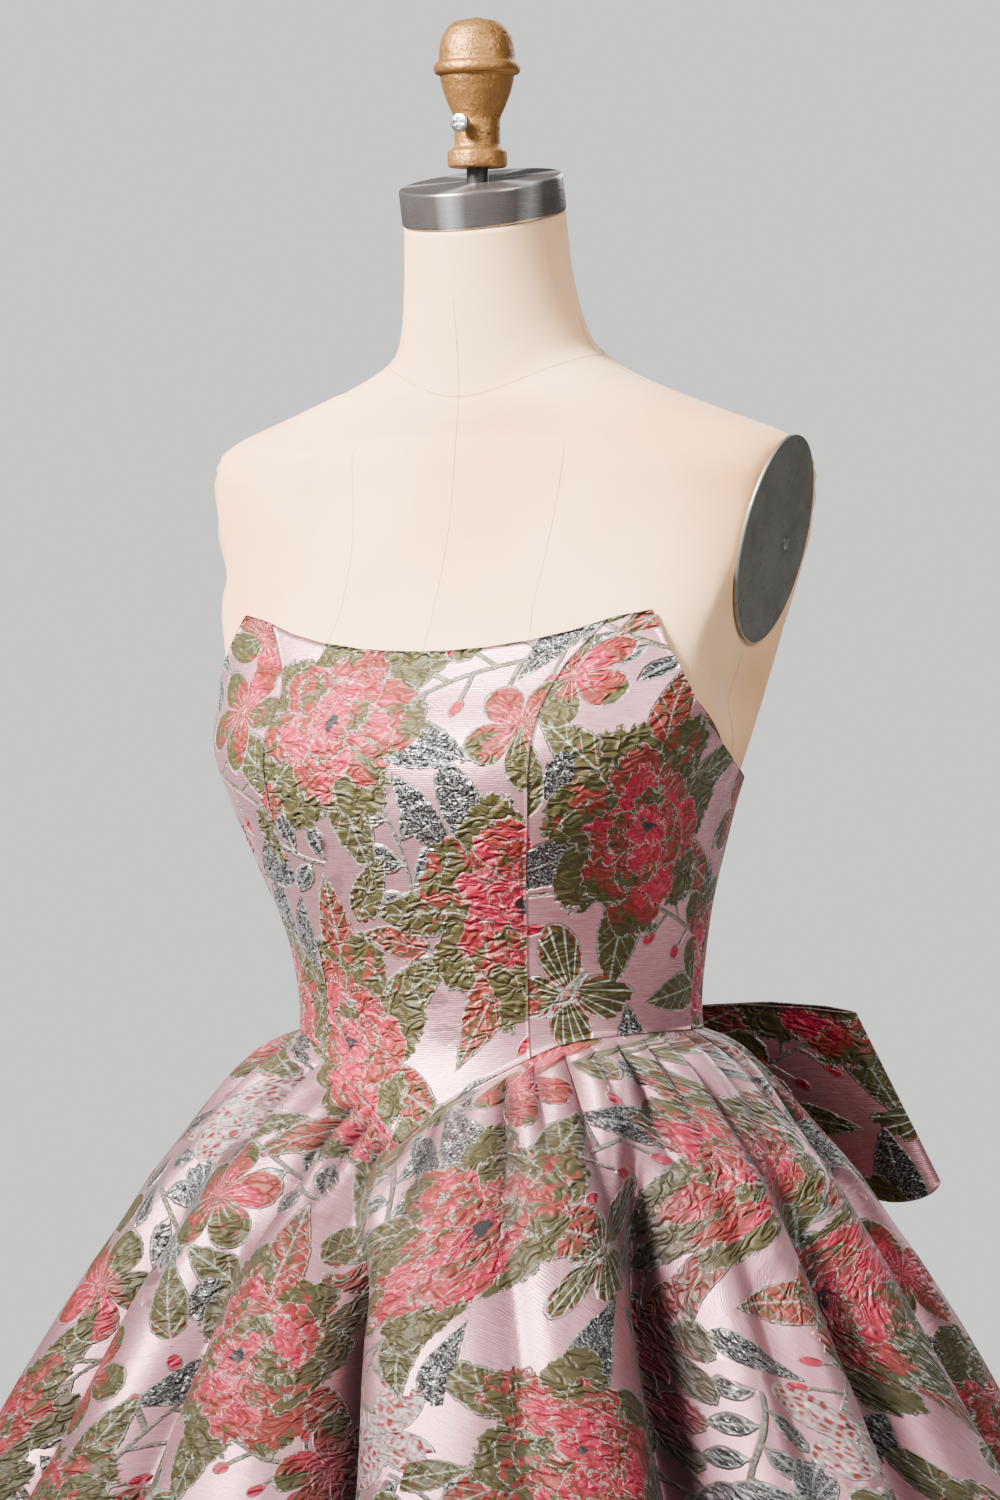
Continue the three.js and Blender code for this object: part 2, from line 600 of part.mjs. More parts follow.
const part = new THREE.Group();
part.name = 'homecoming_dress_on_dress_form';
part.add(basePlate(), pole(), formTorso(), neckCap(), neckRod(), finial(), setScrew());
for (const [side, word] of [[1, 'left'], [-1, 'right']]) {
  part.add(armPlate(side, `arm_plate_${word}`), armScrew(side, `arm_plate_screw_${word}`));
}
part.add(...bodice());
part.add(skirtPanel('skirt_front', -SIDE_SEAM, SIDE_SEAM, 54));
part.add(skirtPanel('skirt_back_left', SIDE_SEAM, 180, 26));
part.add(skirtPanel('skirt_back_right', 180, 360 - SIDE_SEAM, 26));
part.add(bowLoop(1, 'bow_loop_left'), bowLoop(-1, 'bow_loop_right'), bowKnot());

export default part;
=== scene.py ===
"""Strapless brocade party dress with a basque waist and a back bow, on a linen dress form.

Shapes are worked out in millimetres, +Z up, the form facing -Y with its left side at +X, and are
turned into metres where a mesh is made. Each cut piece of cloth is a thin closed shell.
"""

import logging
import math
from dataclasses import dataclass
from enum import IntEnum
from typing import Callable, NamedTuple, Sequence, Union

import bpy
import numpy as np
from mathutils import Matrix, Vector


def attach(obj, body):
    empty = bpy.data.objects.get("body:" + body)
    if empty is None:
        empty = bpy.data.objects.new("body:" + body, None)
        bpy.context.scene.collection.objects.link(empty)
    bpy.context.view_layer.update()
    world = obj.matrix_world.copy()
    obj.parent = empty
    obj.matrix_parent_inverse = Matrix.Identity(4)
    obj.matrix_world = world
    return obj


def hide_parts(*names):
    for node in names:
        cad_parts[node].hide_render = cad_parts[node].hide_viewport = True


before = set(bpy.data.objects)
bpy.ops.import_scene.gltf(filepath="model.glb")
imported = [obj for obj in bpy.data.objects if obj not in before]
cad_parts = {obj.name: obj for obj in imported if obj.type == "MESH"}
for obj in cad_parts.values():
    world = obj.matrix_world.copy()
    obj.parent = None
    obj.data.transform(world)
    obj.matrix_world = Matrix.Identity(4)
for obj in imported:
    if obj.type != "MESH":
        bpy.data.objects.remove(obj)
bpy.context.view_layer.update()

LOG = logging.getLogger("dress")
MM = 0.001
SIDES = ((1, "left"), (-1, "right"))
Array = np.ndarray


# Numbers


def smooth(share: Array) -> Array:
    """Ease a share from 0 to 1, level at both ends."""
    g = np.clip(share, 0.0, 1.0)
    return g * g * (3 - 2 * g)


def lerp(a: Array, b: Array, share: Array) -> Array:
    """Go from a to b by a share."""
    return a + (b - a) * share


def read(rows: Sequence[Sequence[float]], x: Array, column: int = 1) -> Array:
    """Straight-line reading of a table.

    Args:
        rows: Rows in rising order of their first number.
        x: Where to read.
        column: The column that is read.

    Returns:
        The column's value at each x.
    """
    return np.interp(x, [row[0] for row in rows], [row[column] for row in rows])


def turn_between(a: Array, b: Array) -> Array:
    """Shortest turn from b to a, in degrees."""
    return (a - b + 180.0) % 360.0 - 180.0


def linear(red: int, green: int, blue: int) -> tuple[float, float, float, float]:
    """Linear colour from display values of 0 to 255.

    Args:
        red: Display red.
        green: Display green.
        blue: Display blue.

    Returns:
        Linear red, green and blue, and an alpha of one.
    """
    parts = [v / 255.0 for v in (red, green, blue)]
    out = [p / 12.92 if p <= 0.04045 else ((p + 0.055) / 1.055) ** 2.4 for p in parts]
    return (out[0], out[1], out[2], 1.0)


# Meshes


def add_object(name: str, data: bpy.types.ID) -> bpy.types.Object:
    """Add an object to the scene."""
    item = bpy.data.objects.new(name, data)
    bpy.context.scene.collection.objects.link(item)
    return item


def moved(points: Array, place: Matrix) -> Array:
    """Points carried to a place."""
    return points @ np.array(place.to_3x3()).T + np.array(place.to_translation())


def make_object(name: str, points: Array, faces: Sequence[Array], flat: Sequence[Array] = (),
                sharp: float | None = None) -> bpy.types.Object:
    """Make an object from corner points in millimetres.

    Args:
        name: The piece's name.
        points: Corner points, one row each.
        faces: Arrays of faces, each array with one number of corners.
        flat: For each array of faces, the place of each corner on the flat cloth, in metres.
        sharp: Angle in degrees past which an edge stays sharp.

    Returns:
        The object, linked to the scene.
    """
    mesh = bpy.data.meshes.new(name)
    mesh.vertices.add(len(points))
    mesh.vertices.foreach_set("co", (np.asarray(points) * MM).astype(np.float32).ravel())
    corners = np.concatenate([block.ravel() for block in faces]).astype(np.int32)
    counts = np.concatenate([np.full(len(block), block.shape[1]) for block in faces])
    starts = np.concatenate([[0], np.cumsum(counts)[:-1]]).astype(np.int32)
    mesh.loops.add(len(corners))
    mesh.loops.foreach_set("vertex_index", corners)
    mesh.polygons.add(len(counts))
    mesh.polygons.foreach_set("loop_start", starts)
    if len(flat):
        layer = mesh.uv_layers.new(name="cloth")
        values = np.concatenate([block.reshape(-1, 2) for block in flat])
        layer.uv.foreach_set("vector", values.astype(np.float32).ravel())
    mesh.update(calc_edges=True)
    mesh.validate()
    mesh.polygons.foreach_set("use_smooth", np.ones(len(mesh.polygons), dtype=bool))
    if sharp is not None:
        mesh.set_sharp_from_angle(angle=math.radians(sharp))
    return add_object(name, mesh)


def outward(points: Array, faces: Sequence[Array]) -> bool:
    """Whether the faces of a closed skin point out of it.

    Args:
        points: Corner points, one row each.
        faces: Arrays of faces.

    Returns:
        True if the skin holds a positive volume.
    """
    volume = 0.0
    for block in faces:
        a = points[block[:, 0]]
        for k in range(1, block.shape[1] - 1):
            volume += np.einsum("ij,ij->", a, np.cross(points[block[:, k]],
                                                       points[block[:, k + 1]]))
    return volume > 0


def turned_out(name: str, points: Array, faces: list[Array], flat: list[Array] | None = None,
               sharp: float | None = None) -> bpy.types.Object:
    """Make an object whose faces are all turned outwards.

    Args:
        name: The piece's name.
        points: Corner points in millimetres.
        faces: Arrays of faces that already agree with each other.
        flat: For each array of faces, the place of each corner on the flat cloth.
        sharp: Angle in degrees past which an edge stays sharp.

    Returns:
        The object.
    """
    flat = flat or []
    if not outward(points, faces):
        faces = [block[:, ::-1] for block in faces]
        flat = [block[:, ::-1] for block in flat]
    return make_object(name, points, faces, flat, sharp)


def grid_quads(rows: int, columns: int, closed: bool = False) -> Array:
    """Faces of a grid of points, closed round its columns when it is a tube.

    Args:
        rows: Rows of points.
        columns: Columns of points.
        closed: Whether the last column joins the first.

    Returns:
        Four point numbers for each face.
    """
    i, j = np.meshgrid(np.arange(rows - 1), np.arange(columns if closed else columns - 1),
                       indexing="ij")
    k = (j + 1) % columns
    quads = np.stack([i * columns + j, i * columns + k, (i + 1) * columns + k,
                      (i + 1) * columns + j], axis=-1)
    return quads.reshape(-1, 4)


def fans(rows: int, columns: int) -> list[Array]:
    """Faces from the two points after a grid to its first and last rows.

    Args:
        rows: Rows of the grid.
        columns: Columns of the grid, the last of which joins the first.

    Returns:
        Three point numbers for each face of the two fans.
    """
    j = np.arange(columns)
    k = (j + 1) % columns
    low = rows * columns
    start = low - columns
    return [np.stack([np.full_like(j, low), k, j], 1),
            np.stack([np.full_like(j, low + 1), start + j, start + k], 1)]


def run_across(middle: Array) -> Array:
    """Length along each row of points, from the middle column."""
    steps = np.linalg.norm(np.diff(middle, axis=1), axis=-1)
    across = np.concatenate([np.zeros((len(middle), 1)), np.cumsum(steps, axis=1)], axis=1)
    return across - across[:, across.shape[1] // 2][:, None]


def lay_flat(middle: Array, closed: bool = False) -> Array:
    """Lay a grid of points out flat.

    Args:
        middle: Points of the cloth, by row and column, in millimetres.
        closed: Whether the last column joins the first.

    Returns:
        Width and height on the flat cloth in metres, with one column more on a tube.
    """
    if closed:
        middle = np.concatenate([middle, middle[:, :1]], axis=1)
    rises = np.linalg.norm(np.diff(middle, axis=0), axis=-1)
    up = np.concatenate([np.zeros((1, middle.shape[1])), np.cumsum(rises, axis=0)])
    up += middle[0, :, 2][None, :]
    return np.stack([run_across(middle), up], axis=-1) * MM


def normals_of(middle: Array, closed: bool = False) -> Array:
    """Unit normals of a grid of points.

    Args:
        middle: Points by row and column.
        closed: Whether the last column joins the first.

    Returns:
        One normal for each point.
    """
    if closed:
        across = np.roll(middle, -1, axis=1) - np.roll(middle, 1, axis=1)
    else:
        across = np.gradient(middle, axis=1)
    normal = np.cross(across, np.gradient(middle, axis=0))
    return normal / np.maximum(np.linalg.norm(normal, axis=-1, keepdims=True), 1e-9)


def shell(name: str, middle: Array, thick: float, flat: Array | None = None,
          closed: bool = False, shade: Array | None = None) -> bpy.types.Object:
    """Make a closed shell with rounded rims on a grid of points.

    Args:
        name: The piece's name.
        middle: Points in the middle of the cloth, by row and column, in millimetres.
        thick: Thickness of the cloth in millimetres.
        flat: Place of each point on the flat cloth, in metres.
        closed: Whether the last column joins the first.
        shade: How sheltered each point is from the light, from nought to one.

    Returns:
        The piece.
    """
    rows, columns = middle.shape[:2]
    flat = lay_flat(middle, closed) if flat is None else flat
    shade = np.zeros((rows, columns)) if shade is None else shade
    shades = [shade.ravel(), shade.ravel()]
    normal = normals_of(middle, closed)
    outer = (middle + normal * thick / 2).reshape(-1, 3)
    inner = (middle - normal * thick / 2).reshape(-1, 3)
    count = rows * columns
    quads = grid_quads(rows, columns, closed)
    wide = columns + 1 if closed else columns
    flat_quads = flat.reshape(-1, 2)[grid_quads(rows, wide)]
    if closed:
        ring = np.arange(columns)
        loops = [(ring[::-1], ring[::-1] + columns),
                 (ring + (rows - 1) * columns, ring + (rows - 2) * columns)]
    else:
        i, j = np.arange(rows), np.arange(columns)
        edge = [np.stack([np.zeros_like(j), j], 1)[::-1],
                np.stack([i, np.zeros_like(i)], 1)[1:],
                np.stack([np.full_like(j, rows - 1), j], 1)[1:],
                np.stack([i, np.full_like(i, columns - 1)], 1)[::-1][1:-1]]
        path = np.concatenate(edge)
        near = np.clip(path, 1, [rows - 2, columns - 2])
        loops = [(path[:, 0] * columns + path[:, 1], near[:, 0] * columns + near[:, 1])]
    points = [outer, inner]
    faces = [quads, quads[:, ::-1] + count]
    flats = [flat_quads, flat_quads[:, ::-1]]
    total = 2 * count
    flat_points = flat[:, :columns].reshape(-1, 2)
    for loop, near in loops:
        edge_points = middle.reshape(-1, 3)[loop]
        away = edge_points - middle.reshape(-1, 3)[near]
        away /= np.maximum(np.linalg.norm(away, axis=-1, keepdims=True), 1e-9)
        points.append(edge_points + away * thick * 0.4)
        shades.append(shade.ravel()[loop])
        here = np.arange(len(loop))
        after = (here + 1) % len(loop)
        rim = total + here
        faces.append(np.stack([loop, rim, total + after, loop[after]], 1))
        faces.append(np.stack([rim, loop + count, loop[after] + count, total + after], 1))
        place = flat_points[loop]
        turn = np.stack([place, place, place[after], place[after]], 1)
        flats += [turn, turn]
        total += len(loop)
    first = faces[2][0]
    touching = (faces[0] == first[0]).any(axis=1) & (faces[0] == first[3]).any(axis=1)
    quad = faces[0][touching][0]
    k = int(np.where(quad == first[0])[0][0])
    if quad[(k + 1) % 4] == first[3]:
        faces[2:] = [block[:, ::-1] for block in faces[2:]]
        flats[2:] = [block[:, ::-1] for block in flats[2:]]
    piece = turned_out(name, np.concatenate(points), faces, flats)
    attribute = piece.data.attributes.new("shade", "FLOAT", "POINT")
    attribute.data.foreach_set("value", np.concatenate(shades).astype(np.float32))
    return piece


def skin(name: str, rings: Array, flat: bool = True, sharp: float | None = None
         ) -> bpy.types.Object:
    """Make a closed skin over rings of points, with a fan at each end.

    Args:
        name: The piece's name.
        rings: Points by ring and place round it, in millimetres.
        flat: Whether the skin is also laid out flat.
        sharp: Angle in degrees past which an edge stays sharp.

    Returns:
        The piece.
    """
    rows, columns = rings.shape[:2]
    points = np.concatenate([rings.reshape(-1, 3), rings[:1].mean(axis=1),
                             rings[-1:].mean(axis=1)])
    quads = grid_quads(rows, columns, True)
    flats: list[Array] = []
    if flat:
        place = lay_flat(rings, True)
        flats = [place.reshape(-1, 2)[grid_quads(rows, columns + 1)]]
        for end, row in ((0, 0), (1, rows - 1)):
            here, after = place[row, :-1], place[row, 1:]
            centre = np.broadcast_to(place[row].mean(axis=0), here.shape)
            order = [centre, after, here] if end == 0 else [centre, here, after]
            flats.append(np.stack(order, 1))
    return turned_out(name, points, [quads, *fans(rows, columns)], flats, sharp)


def turned(name: str, profile: Sequence[tuple[float, float]], segments: int = 96,
           place: Matrix | None = None, sharp: float = 32.0) -> bpy.types.Object:
    """Make a turned piece from radius and height pairs.

    Args:
        name: The piece's name.
        profile: Radius and height pairs that start and end on the axis.
        segments: Facets round the piece.
        place: Where the piece's own frame stands, in millimetres.
        sharp: Angle in degrees past which an edge stays sharp.

    Returns:
        The piece.
    """
    angle = np.linspace(0, 2 * math.pi, segments, endpoint=False)
    body = np.array(profile[1:-1])
    rings = np.stack([body[:, :1] * np.sin(angle), -body[:, :1] * np.cos(angle),
                      np.broadcast_to(body[:, 1:], (len(body), segments))], axis=-1)
    points = np.concatenate([rings.reshape(-1, 3), [[0, 0, profile[0][1]],
                                                    [0, 0, profile[-1][1]]]])
    faces = [grid_quads(len(body), segments, True), *fans(len(body), segments)]
    if place is not None:
        points = moved(points, place)
    return turned_out(name, points, faces, sharp=sharp)


def rounded(profile: Sequence[tuple[float, float]], reach: float = 0.8, steps: int = 3
            ) -> list[tuple[float, float]]:
    """Round the inner corners of a profile of radius and height pairs.

    Args:
        profile: Radius and height pairs.
        reach: How far a corner is cut back, at most.
        steps: Facets in each rounded corner.

    Returns:
        The profile with its corners rounded.
    """
    out = [profile[0]]
    for before, here, after in zip(profile, profile[1:], profile[2:]):
        p, a, b = (np.array(v, dtype=float) for v in (here, before, after))
        la, lb = np.linalg.norm(a - p), np.linalg.norm(b - p)
        if min(la, lb) < 1e-6:
            continue
        start = p + (a - p) * min(reach / la, 0.45)
        end = p + (b - p) * min(reach / lb, 0.45)
        for t in np.linspace(0, 1, steps + 1):
            q = (1 - t) ** 2 * start + 2 * t * (1 - t) * p + t * t * end
            out.append((float(q[0]), float(q[1])))
    out.append(profile[-1])
    return out


# Shader nodes


class Val:
    """A number in a shader, which takes part in arithmetic."""

    def __init__(self, art: "Art", socket: bpy.types.NodeSocket) -> None:
        """Wrap an output socket."""
        self.art = art
        self.socket = socket

    def __add__(self, other: "Number") -> "Val":
        """Sum."""
        return self.art.math("ADD", self, other)

    __radd__ = __add__

    def __sub__(self, other: "Number") -> "Val":
        """Difference."""
        return self.art.math("SUBTRACT", self, other)

    def __rsub__(self, other: "Number") -> "Val":
        """Difference from a number on the left."""
        return self.art.math("SUBTRACT", other, self)

    def __mul__(self, other: "Number") -> "Val":
        """Product."""
        return self.art.math("MULTIPLY", self, other)

    __rmul__ = __mul__

    def __truediv__(self, other: "Number") -> "Val":
        """Quotient."""
        return self.art.math("DIVIDE", self, other)

    def __pow__(self, other: "Number") -> "Val":
        """Power."""
        return self.art.math("POWER", self, other)

    def __abs__(self) -> "Val":
        """Size without the sign."""
        return self.art.math("ABSOLUTE", self)

    def __gt__(self, other: "Number") -> "Val":
        """One where it is greater, else nought."""
        return self.art.math("GREATER_THAN", self, other)

    def of(self, operation: str) -> "Val":
        """Another function of this value alone, by its Math operation."""
        return self.art.math(operation, self)

    def ramp(self, low: float, high: float) -> "Val":
        """Rise from nought at low to one at high, held at both ends."""
        scale = 1.0 / (high - low)
        return self.art.math("MULTIPLY_ADD", self, scale, -low * scale, clamp=True)

    def band(self, centre: "Number", half: float) -> "Val":
        """One at the centre, falling to nought at half a width either side."""
        return abs(self - centre).ramp(half, half * 0.35)


Number = Union[Val, float, int]


class Art:
    """Builds the nodes of one material."""

    def __init__(self, name: str) -> None:
        """Start an empty material."""
        self.material = bpy.data.materials.new(name)
        self.material.use_nodes = True
        self.tree = self.material.node_tree
        self.tree.nodes.clear()

    def node(self, kind: str, settings: dict | None = None, sockets: dict | None = None
             ) -> bpy.types.Node:
        """Create any node.

        Args:
            kind: The node's type.
            settings: What is set first, such as an operation, or a ramp's stops.
            sockets: Values or links by the name or number of each input.

        Returns:
            The node.
        """
        node = self.tree.nodes.new(kind)
        for key, value in (settings or {}).items():
            if key == "stops":
                self._stops(node.color_ramp, value)
            else:
                setattr(node, key, value)
        for key, value in (sockets or {}).items():
            if isinstance(value, Val):
                self.tree.links.new(value.socket, node.inputs[key])
            elif isinstance(value, bpy.types.NodeSocket):
                self.tree.links.new(value, node.inputs[key])
            else:
                node.inputs[key].default_value = value
        return node

    @staticmethod
    def _stops(ramp: bpy.types.ColorRamp, stops: Sequence[tuple[float, tuple]]) -> None:
        """Set the stops of a colour ramp."""
        while len(ramp.elements) < len(stops):
            ramp.elements.new(1.0)
        for element, (position, colour) in zip(ramp.elements, stops):
            element.position = position
            element.color = colour

    def math(self, operation: str, *values: Number, clamp: bool = False) -> Val:
        """Add a Math node."""
        node = self.node("ShaderNodeMath", {"operation": operation, "use_clamp": clamp},
                         dict(enumerate(values)))
        return Val(self, node.outputs[0])

    def most(self, a: Number, b: Number) -> Val:
        """The greater of two values."""
        return self.math("MAXIMUM", a, b)

    def mix(self, a: object, b: object, share: Number) -> bpy.types.NodeSocket:
        """Mix two colours by a share."""
        node = self.node("ShaderNodeMix", {"data_type": "RGBA"}, {0: share, 6: a, 7: b})
        return node.outputs[2]

    def blend(self, a: Number, b: Number, share: Val) -> Val:
        """Mix two values by a share."""
        node = self.node("ShaderNodeMix", {"data_type": "FLOAT"}, {0: share, 2: a, 3: b})
        return Val(self, node.outputs[0])

    def flat(self, name: str) -> bpy.types.NodeSocket:
        """Place on a UV map of the piece."""
        return self.node("ShaderNodeUVMap", {"uv_map": name}).outputs[0]

    def place(self) -> bpy.types.NodeSocket:
        """Place in the object's own coordinates."""
        return self.node("ShaderNodeTexCoord").outputs["Object"]

    def parts(self, vector: bpy.types.NodeSocket) -> tuple[Val, Val, Val]:
        """The three numbers of a vector."""
        node = self.node("ShaderNodeSeparateXYZ", None, {0: vector})
        return tuple(Val(self, out) for out in node.outputs)

    def stretch(self, vector: bpy.types.NodeSocket, scale: tuple[float, float, float],
                turn: float = 0.0) -> bpy.types.NodeSocket:
        """Turn a vector about Z and scale it along each axis."""
        node = self.node("ShaderNodeMapping", None, {
            "Vector": vector, "Rotation": (0, 0, math.radians(turn)), "Scale": scale})
        return node.outputs[0]

    def noise(self, vector: bpy.types.NodeSocket, size: float, detail: float = 1.0,
              rough: float = 0.5, twist: float = 0.0) -> Val:
        """Soft noise with features of a size in metres."""
        node = self.node("ShaderNodeTexNoise", None, {
            "Vector": vector, "Scale": 1.0 / size, "Detail": detail, "Roughness": rough,
            "Distortion": twist})
        return Val(self, node.outputs[0])

    def cells(self, vector: bpy.types.NodeSocket, size: float, feature: str = "F1") -> Val:
        """Distance inside cells of a size in metres."""
        node = self.node("ShaderNodeTexVoronoi", {"feature": feature},
                         {"Vector": vector, "Scale": 1.0 / size})
        return Val(self, node.outputs["Distance"])

    def chance(self, value: Val) -> Val:
        """A random number for each whole value."""
        node = self.node("ShaderNodeTexWhiteNoise", {"noise_dimensions": "1D"}, {"W": value})
        return Val(self, node.outputs["Value"])

    def finish(self, colour: object, rough: object, height: Val | None = None,
               metallic: object = 0.0, constants: dict | None = None) -> bpy.types.Material:
        """Close the material with one surface shader.

        Args:
            colour: Colour or link.
            rough: Roughness or link.
            height: Height of the relief in metres.
            metallic: Metallic share or link.
            constants: Other inputs, the same all over.

        Returns:
            The material.
        """
        sockets = {"Base Color": colour, "Roughness": rough, "Metallic": metallic,
                   **(constants or {})}
        if height is not None:
            bump = self.node("ShaderNodeBump", None, {"Distance": 1.0, "Height": height})
            sockets["Normal"] = bump.outputs[0]
        shader = self.node("ShaderNodeBsdfPrincipled", None, sockets)
        self.node("ShaderNodeOutputMaterial", None, {0: shader.outputs[0]})
        return self.material


# Print of the brocade


class Bloom(IntEnum):
    """Kinds of flower in the top layer of the print."""

    ROSE = 0
    BLOSSOM = 1


class Foliage(IntEnum):
    """Kinds of shape in the middle layer of the print."""

    LEAF = 0
    BUTTERFLY = 1


class Stem(IntEnum):
    """Kinds of shape in the lowest layer of the print."""

    SPRAY = 0
    BUDS = 1


class Tint(IntEnum):
    """Colourways of a leaf, a spray or a butterfly."""

    OLIVE = 0
    CORAL = 1
    FOIL = 2


class Spot(NamedTuple):
    """One motif of the chart, in metres and degrees."""

    kind: int
    x: float
    y: float
    half_wide: float
    half_tall: float
    turn: float
    tint: int


@dataclass(frozen=True)
class Chart:
    """Half-drop repeat of the print, with each motif listed."""

    width: float = 0.26
    height: float = 0.37
    leaf_half_wide: float = 0.0165
    leaf_half_tall: float = 0.029
    loose_scale: float = 0.9

    # x, y, radius, then the turn of each leaf that grows from under the rose
    roses = (
        (0.065, 0.075, 0.066, (30, 88, 140, 200, 262, 335)),
        (0.195, 0.150, 0.068, (12, 62, 118, 182, 245, 300)),
        (0.080, 0.255, 0.064, (42, 100, 165, 225, 285, 345)),
    )
    # x, y, radius
    blossoms = (
        (0.142, 0.010, 0.037), (0.005, 0.165, 0.037), (0.197, 0.250, 0.036),
        (0.150, 0.327, 0.036),
    )
    # x, y, half width, turn, tint
    butterflies = (
        (0.234, 0.040, 0.038, 35, Tint.CORAL), (0.030, 0.352, 0.036, -40, Tint.OLIVE),
        (0.230, 0.338, 0.036, 70, Tint.FOIL),
    )
    # x, y, half width, half height, turn, tint
    loose_leaves = (
        (0.137, 0.205, 0.014, 0.028, 35, Tint.FOIL), (0.100, 0.162, 0.014, 0.027, -35, Tint.OLIVE),
        (0.180, 0.050, 0.013, 0.026, -70, Tint.FOIL), (0.246, 0.292, 0.015, 0.029, 10, Tint.OLIVE),
        (0.195, 0.302, 0.014, 0.027, 150, Tint.FOIL), (0.010, 0.214, 0.013, 0.025, -60, Tint.OLIVE),
        (0.256, 0.092, 0.014, 0.027, 15, Tint.FOIL), (0.100, 0.350, 0.014, 0.027, 100, Tint.OLIVE),
        (0.110, 0.132, 0.013, 0.026, 80, Tint.CORAL), (0.010, 0.112, 0.013, 0.026, -20, Tint.FOIL),
    )
    # kind, x, y, half width, half height, turn, tint
    stems = (
        (Stem.SPRAY, 0.128, 0.160, 0.034, 0.050, 20, Tint.FOIL),
        (Stem.BUDS, 0.256, 0.220, 0.034, 0.050, -25, Tint.CORAL),
        (Stem.SPRAY, 0.030, 0.190, 0.032, 0.046, 75, Tint.FOIL),
        (Stem.BUDS, 0.170, 0.290, 0.034, 0.052, 120, Tint.CORAL),
        (Stem.SPRAY, 0.200, 0.350, 0.034, 0.050, -160, Tint.FOIL),
        (Stem.BUDS, 0.215, 0.070, 0.030, 0.046, 200, Tint.CORAL),
        (Stem.BUDS, 0.105, 0.020, 0.030, 0.046, 80, Tint.CORAL),
    )

    def layers(self) -> dict[str, list[Spot]]:
        """The motifs of each layer of the print.

        Returns:
            Motifs by the name of their layer.
        """
        blooms = [Spot(Bloom.ROSE, x, y, r, r, 37.0 * k, 0)
                  for k, (x, y, r, _) in enumerate(self.roses)]
        blooms += [Spot(Bloom.BLOSSOM, x, y, r, r, 23.0 * k, k % 2)
                   for k, (x, y, r) in enumerate(self.blossoms)]
        foliage = []
        for k, (x, y, r, turns) in enumerate(self.roses):
            for n, turn in enumerate(turns):
                off = math.radians(turn)
                reach = r + 0.001
                tint = (Tint.OLIVE, Tint.CORAL, Tint.OLIVE, Tint.FOIL)[(n + k) % 4]
                foliage.append(Spot(Foliage.LEAF, x + reach * math.cos(off),
                                    y + reach * math.sin(off), self.leaf_half_wide,
                                    self.leaf_half_tall, turn - 90, tint))
        scale = self.loose_scale
        foliage += [Spot(Foliage.LEAF, x, y, w * scale, h * scale, turn, tint)
                    for x, y, w, h, turn, tint in self.loose_leaves]
        foliage += [Spot(Foliage.BUTTERFLY, x, y, w, w * 0.92, turn, tint)
                    for x, y, w, turn, tint in self.butterflies]
        stems = [Spot(*stem) for stem in self.stems]
        return {"blooms": blooms, "foliage": foliage, "stems": stems}

    def weave(self, piece: bpy.types.Object, shift: tuple[float, float]) -> None:
        """Give every face of a cloth piece its nearest motif in each layer.

        Args:
            piece: The piece, laid out flat on its UV map.
            shift: Where the piece was cut from the cloth, in metres.
        """
        mesh = piece.data
        count = len(mesh.loops)
        flat = np.empty(count * 2, dtype=np.float32)
        mesh.uv_layers["cloth"].uv.foreach_get("vector", flat)
        flat = flat.reshape(-1, 2) + np.array(shift, dtype=np.float32)
        mesh.uv_layers["cloth"].uv.foreach_set("vector", flat.ravel())
        starts = np.empty(len(mesh.polygons), dtype=np.int32)
        mesh.polygons.foreach_get("loop_start", starts)
        sizes = np.diff(np.append(starts, count))
        centre = np.add.reduceat(flat, starts, axis=0) / sizes[:, None]
        column = np.floor(centre[:, 0] / self.width)
        for name, spots in self.layers().items():
            self._lay(mesh, name, spots, flat, centre, column, sizes)

    def _lay(self, mesh: bpy.types.Mesh, name: str, spots: list[Spot], flat: Array,
             centre: Array, column: Array, sizes: Array) -> None:
        """Write one layer's motif coordinates and kinds to a mesh.

        Args:
            mesh: The cloth.
            name: Name of the layer.
            spots: Motifs of one repeat.
            flat: Place of each face corner on the cloth.
            centre: Middle of each face.
            column: Column of repeats that each face is in.
            sizes: Corners of each face.
        """
        best = np.full(len(centre), 1e9, dtype=np.float32)
        chosen = np.zeros((len(centre), 8), dtype=np.float32)
        for step in (-1, 0, 1):
            here = column + step
            drop = (here % 2) * self.height / 2
            row = np.floor((centre[:, 1] - drop) / self.height)
            for lift in (-1, 0, 1):
                for number, spot in enumerate(spots):
                    x = here * self.width + spot.x
                    y = (row + lift) * self.height + drop + spot.y
                    seed = (number * 7.3 + here * 3.1 + (row + lift) * 5.7) % 16
                    turn = math.radians(spot.turn)
                    dx, dy = centre[:, 0] - x, centre[:, 1] - y
                    u = (dx * math.cos(turn) + dy * math.sin(turn)) / spot.half_wide
                    v = (dy * math.cos(turn) - dx * math.sin(turn)) / spot.half_tall
                    far = u * u + v * v
                    near = far < best
                    best[near] = far[near]
                    chosen[near] = np.stack([
                        x[near], y[near], np.full(near.sum(), math.cos(turn)),
                        np.full(near.sum(), math.sin(turn)), np.full(near.sum(), spot.half_wide),
                        np.full(near.sum(), spot.half_tall),
                        np.full(near.sum(), spot.kind + 2.0 * spot.tint), seed[near]], axis=1)
        x, y, c, s, wide, tall = (np.repeat(chosen[:, k], sizes) for k in range(6))
        dx, dy = flat[:, 0] - x, flat[:, 1] - y
        local = np.stack([(dx * c + dy * s) / wide, (dy * c - dx * s) / tall], axis=1)
        layer = mesh.uv_layers.new(name=name)
        layer.uv.foreach_set("vector", local.astype(np.float32).ravel())
        kind = chosen[:, 6] % 2
        facts = np.stack([kind, (chosen[:, 6] - kind) / 2, chosen[:, 7]], axis=1)
        attribute = mesh.attributes.new(f"{name}_facts", "FLOAT_VECTOR", "FACE")
